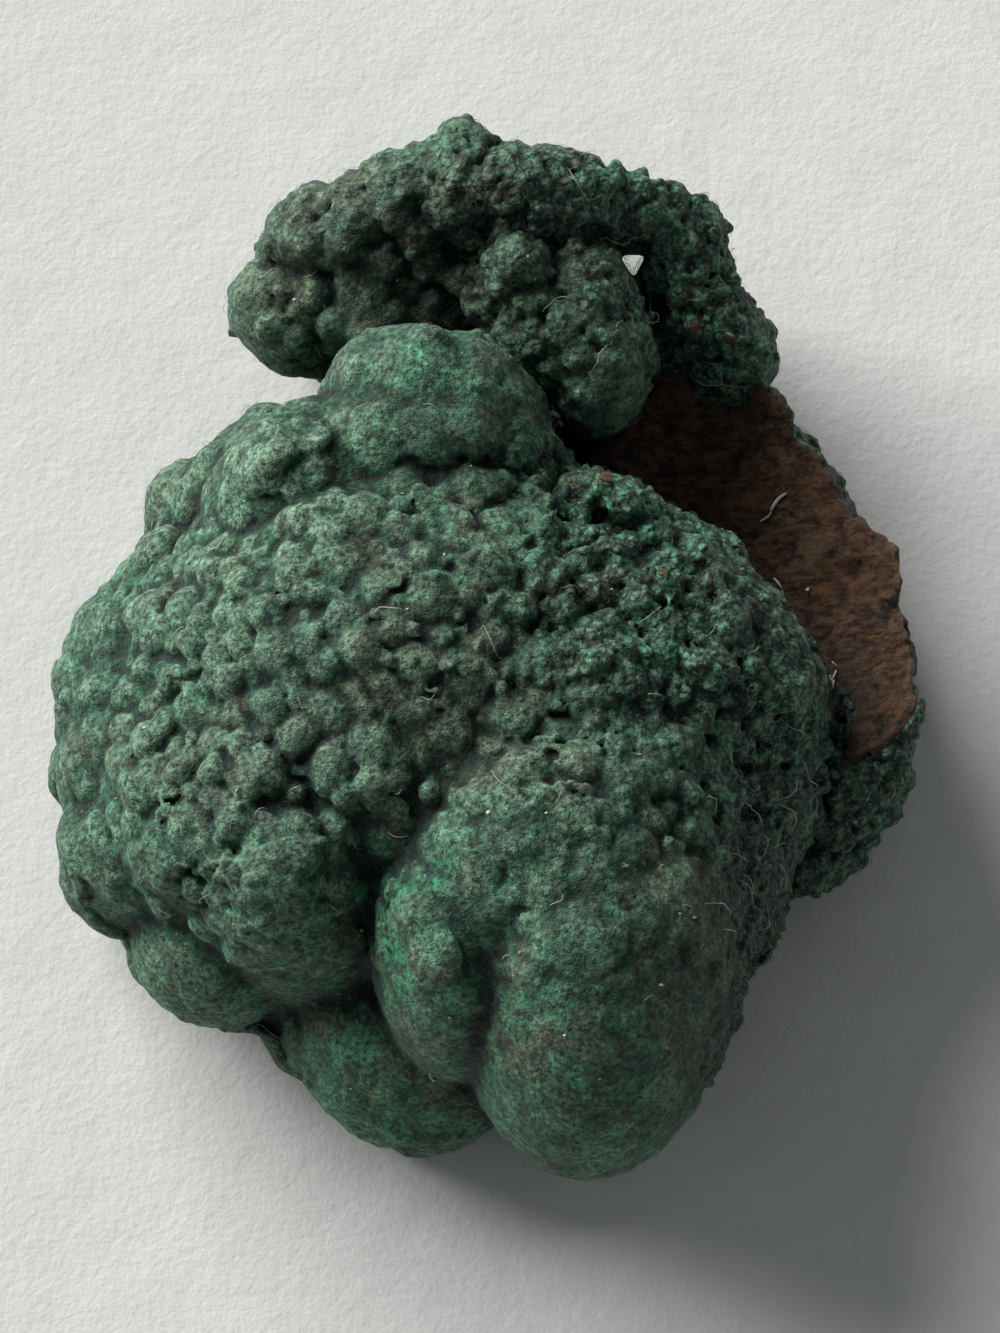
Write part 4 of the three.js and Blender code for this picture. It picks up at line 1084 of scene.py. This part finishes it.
def malachite_material():
    m = Nodes("malachite_crust")
    cavf, cavw, tint = m.attr("cav_fine"), m.attr("cav_wide"), m.attr("tint")
    grain, dust, dark, vivid = m.attr("grain"), m.attr("dust"), m.attr("dark"), m.attr("vivid")
    brown, cut, mass_shadow = m.attr("brown"), m.attr("cutface"), m.attr("deep_shade")
    n_big, n_mid, n_small = m.noise(7.0, 3), m.noise(2.2, 4, offset=31), m.noise(0.55, 4, 0.6, offset=57)
    n_dot = m.noise(0.16, 2, 0.6, offset=83)

    # greens
    # deep_shade: the dark green of the painted shade in creases and gaps
    deep_shade = (0.0045, 0.016, 0.011)
    mid = (0.012, 0.066, 0.032)
    pale = (0.122, 0.200, 0.138)
    bright = (0.014, 0.160, 0.074)
    teal = (0.020, 0.058, 0.037)
    soot_and_shade = (0.011, 0.015, 0.011)
    umber = (0.026, 0.021, 0.012)
    base = m.mix(m.ramp(n_mid, 0.38, 0.62), mid, teal)
    base = m.mix(m.ramp(m.add(n_big, m.mul(tint, 0.10)), 0.42, 0.66), base, (0.010, 0.044, 0.027))
    # greyed, dusty brown-green patches
    gf = m.ramp(m.add(m.noise(3.6, 4, 0.6, offset=71), m.mul(dark, 0.22), m.mul(tint, 0.05)), 0.52, 0.66, 0.0, 0.85)
    base = m.mix(gf, base, (0.048, 0.052, 0.031))
    # vivid patches
    vf = m.math("MULTIPLY", vivid, m.ramp(m.add(n_mid, m.mul(tint, 0.12)), 0.40, 0.62), clamp=True)
    base = m.mix(vf, base, bright)
    # dust on the tops, partly painted light: convex tops made paler
    top = m.ramp(m.add(m.mul(cavf, -0.5), m.mul(cavw, -0.6), m.mul(m.add(n_small, -0.5), 1.1), m.mul(m.add(n_mid, -0.5), 0.5), m.mul(tint, 0.12)), -0.16, 0.30)
    dust_and_top_light = m.math("MULTIPLY", m.mul(dust, top), 0.95, clamp=True)
    base = m.mix(dust_and_top_light, base, pale)
    # dark patches: soot-grey and brown stain, partly painted shade on the outer wall, in the low valleys and in wide
    # hollows
    dk = m.ramp(m.add(dark, m.mul(m.add(n_mid, -0.5), 1.1), m.mul(m.add(n_small, -0.5), 0.7), m.mul(tint, 0.10), m.mul(cavw, 0.20)), 0.30, 0.85, 0.0, 0.85)
    stain_and_shade = m.mix(m.ramp(m.add(n_big, m.mul(m.add(n_small, -0.5), 0.8)), 0.42, 0.62), soot_and_shade, umber)
    base = m.mix(dk, base, stain_and_shade)
    # painted shade in the creases
    crease_shade = m.ramp(m.add(m.mul(cavf, 0.8), m.mul(cavw, 0.5), m.mul(m.add(n_small, -0.5), 0.7)), 0.02, 0.44, 0.0, 0.95)
    base = m.mix(crease_shade, base, deep_shade)
    # painted glints of fresh crystal faces: pale flecks here, bright green ones in the drusy parts further down
    
    fleck_glint = m.ramp(m.noise(0.30, 2, 0.5, offset=113), 0.70, 0.76, 0.0, 0.5)
    base = m.mix(fleck_glint, base, (0.20, 0.30, 0.24))

    # felt of tiny needles: fine light and dark mottling
    mott = m.ramp(m.noise(0.34, 5, 0.78, offset=141), 0.35, 0.65, 0.16, 2.35)
    mott2 = m.ramp(m.noise(1.1, 3, 0.6, offset=151), 0.32, 0.68, 0.60, 1.40)
    mm_ = m.mul(mott, mott2)
    gray = m.t.nodes.new("ShaderNodeCombineColor")
    for q in range(3):
        m.put(gray.inputs[q], mm_)
    base = m.mix(1.0, base, gray.outputs[0], "MULTIPLY")

    # painted shade: black pores between the crystals of the gritty parts
    pv = m.cells(0.62)
    pore_shade = m.math("MULTIPLY", m.ramp(m.add(pv.outputs["Distance"], m.mul(m.add(n_small, -0.5), 0.5)), 0.46, 0.72), m.ramp(grain, 0.02, 0.5, 0.12, 0.90))
    base = m.mix(pore_shade, base, (0.0035, 0.010, 0.007))
    # painted shade in the gaps between clusters of crystals
    gap_shade = m.math("MULTIPLY", m.ramp(m.add(m.noise(1.5, 3, 0.55, offset=171), m.mul(cavf, 0.10)), 0.50, 0.60), m.ramp(grain, 0.15, 0.7, 0.0, 0.72))
    base = m.mix(gap_shade, base, deep_shade)
    # painted glints of crystal faces in the drusy parts
    drusy_glint = m.math("MULTIPLY", m.ramp(m.noise(0.26, 3, 0.6, offset=83), 0.54, 0.66), m.ramp(m.add(grain, m.mul(vivid, 0.25)), 0.15, 0.75, 0.03, 0.80))
    base = m.mix(drusy_glint, base, (0.105, 0.310, 0.180))

    # brown iron oxide, rusty towards the outer edge; darker and less orange next to the main mass as painted shadow of
    # the main mass
    sv = m.stretch(math.radians(-52), (0.35, 1.0, 0.5))
    s1, s2 = m.noise(0.42, 5, 0.78, vec=sv), m.noise(2.6, 4, 0.6, offset=19)
    rust = m.mix(m.ramp(s1, 0.40, 0.60), (0.022, 0.012, 0.008), (0.235, 0.116, 0.052))
    rust = m.mix(m.ramp(m.add(s2, m.mul(m.add(n_small, -0.5), 0.5), m.mul(mass_shadow, -0.35)), 0.32, 0.60, 0.0, 0.42), rust, (0.185, 0.084, 0.034))
    rust = m.mix(m.ramp(m.add(mass_shadow, m.mul(m.add(s2, -0.5), 1.0), m.mul(m.add(n_small, -0.5), 0.6)), 0.55, 1.05, 0.0, 0.60), rust, (0.110, 0.082, 0.066))
    # painted shade: near-black in the hollows of the brown face
    rust = m.mix(m.ramp(m.add(cavf, m.mul(m.add(n_small, -0.5), 0.9)), 0.1, 0.7, 0.0, 0.8), rust, (0.012, 0.008, 0.006))
    # painted highlight: paler tan on the raised points of the brown face
    rust = m.mix(m.ramp(m.add(m.mul(cavf, -1.0), m.mul(m.add(n_dot, -0.5), 0.9)), 0.45, 0.9, 0.0, 0.5), rust, (0.22, 0.14, 0.08))
    bf = m.ramp(m.add(brown, m.mul(m.add(n_small, -0.5), 0.5)), 0.35, 0.6)
    col = m.mix(bf, base, rust)

    # sawn base, banded green
    dist = m.t.nodes.new("ShaderNodeVectorMath")
    dist.operation = "LENGTH"
    m.put(dist.inputs[0], m.mm)
    w = m.math("SINE", m.add(m.mul(dist.outputs["Value"], 1.6), m.mul(n_big, 26.0), m.mul(n_mid, 3.0)))
    band_c = m.mix(m.ramp(w, -0.8, 0.8), (0.010, 0.085, 0.050), (0.050, 0.260, 0.160))
    band_c = m.mix(m.ramp(m.math("SINE", m.add(m.mul(dist.outputs["Value"], 5.1), m.mul(n_big, 60.0))), 0.2, 0.9, 0.0, 0.4), band_c, (0.006, 0.050, 0.030))
    col = m.mix(cut, col, band_c)

    m.put(m.bsdf.inputs["Base Color"], col)
    ro = m.add(0.60, m.mul(dust, 0.22), m.mul(n_small, 0.12), m.mul(cut, -0.2), m.mul(grain, -0.22))
    m.put(m.bsdf.inputs["Roughness"], m.math("MINIMUM", ro, 0.95))
    m.bsdf.inputs["IOR"].default_value = 1.5
    m.bsdf.inputs["Specular IOR Level"].default_value = 0.4
    m.bsdf.inputs["Sheen Weight"].default_value = 0.05
    m.bsdf.inputs["Sheen Roughness"].default_value = 0.5
    m.bsdf.inputs["Sheen Tint"].default_value = (0.75, 0.85, 0.80, 1.0)
    # fine relief: felted micro-crystals and grit
    uncut = m.math("SUBTRACT", 1.0, m.mul(cut, 0.85))
    h1 = m.mul(m.noise(0.32, 3, 0.65, offset=7), uncut)
    h2 = m.mul(m.noise(0.09, 2, 0.6, offset=13), uncut)
    vor = m.cells(0.45)
    h3 = m.mul(m.math("SUBTRACT", 1.0, vor.outputs["Distance"]), m.ramp(grain, 0.05, 0.7, 0.25, 1.0), uncut)
    h4 = m.mul(m.math("SUBTRACT", 1.0, pv.outputs["Distance"]), m.ramp(grain, 0.05, 0.55, 0.10, 1.0), uncut)
    nrm = m.bump(h1, 0.00024)
    nrm = m.bump(h2, 0.00008, normal=nrm)
    nrm = m.bump(h3, 0.00020, normal=nrm)
    nrm = m.bump(h4, 0.00030, normal=nrm)
    st = m.mul(m.noise(0.34, 5, 0.75, offset=3), bf)
    nrm = m.bump(st, 0.00070, normal=nrm)
    m.put(m.bsdf.inputs["Normal"], nrm)
    return m.mat


def paper_material():
    m = Nodes("paper")
    fine, grainy = m.noise(0.5, 4, 0.6), m.noise(3.5, 3, 0.5, offset=9)
    c = m.mix(m.ramp(grainy, 0.3, 0.7), (0.735, 0.74, 0.725), (0.765, 0.77, 0.755))
    c = m.mix(m.ramp(fine, 0.68, 0.80, 0.0, 0.25), c, (0.60, 0.60, 0.58))
    m.put(m.bsdf.inputs["Base Color"], c)
    m.bsdf.inputs["Roughness"].default_value = 0.9
    m.bsdf.inputs["Specular IOR Level"].default_value = 0.2
    h = m.add(m.mul(m.noise(0.55, 4, 0.65, offset=5), 0.7), m.mul(m.noise(2.6, 2, 0.5, offset=21), 0.8))
    m.put(m.bsdf.inputs["Normal"], m.bump(h, 0.00014, 0.6))
    return m.mat


# ---------------------------------------------------------------- build
body, FIELD, BROWN = specimen()
body.data.materials.clear()
body.data.materials.append(malachite_material())
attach(body, "root")
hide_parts("malachite_specimen")
lint = lint_mesh(FIELD, thread_material("lint", (0.62, 0.61, 0.52), (0.36, 0.36, 0.30)))
fuzz = fuzz_mesh(FIELD, BROWN, thread_material("fuzz", (0.115, 0.125, 0.085), (0.045, 0.050, 0.032)))

# ---------------------------------------------------------------- stage, light, camera
fm = bpy.data.meshes.new("paper")
fm.from_pydata([(-1.2, -1.2, 0), (1.2, -1.2, 0), (1.2, 1.2, 0), (-1.2, 1.2, 0)], [], [(0, 1, 2, 3)])
floor = bpy.data.objects.new("paper", fm)
bpy.context.scene.collection.objects.link(floor)
fm.materials.append(paper_material())

sun = bpy.data.lights.new("window", "SUN")
sun.energy = 5.7
sun.angle = math.radians(50)
sun.color = (1.0, 0.99, 0.965)
so = bpy.data.objects.new("window", sun)
bpy.context.scene.collection.objects.link(so)
so.rotation_euler = Vector((-0.652, 0.630, 0.423)).to_track_quat("Z", "Y").to_euler()

world = bpy.data.worlds.new("room")
bpy.context.scene.world = world
world.use_nodes = True
world.node_tree.nodes["Background"].inputs[0].default_value = (0.93, 0.97, 1.0, 1.0)
world.node_tree.nodes["Background"].inputs[1].default_value = 0.17

TARGET = (1.020, -1.810, 11.737)
cam = bpy.data.cameras.new("camera")
cam.sensor_width = 36.0
cam.lens = 135.02
cam.clip_start = 0.01
co = bpy.data.objects.new("camera", cam)
bpy.context.scene.collection.objects.link(co)
tilt = math.radians(15)
co.location = (TARGET[0] * MM, TARGET[1] * MM - math.sin(tilt) * 0.290, TARGET[2] * MM + math.cos(tilt) * 0.290)
co.rotation_euler = (tilt, 0, 0)
bpy.context.scene.camera = co
bpy.context.scene.view_settings.view_transform = "Standard"
bpy.context.scene.view_settings.look = "None"
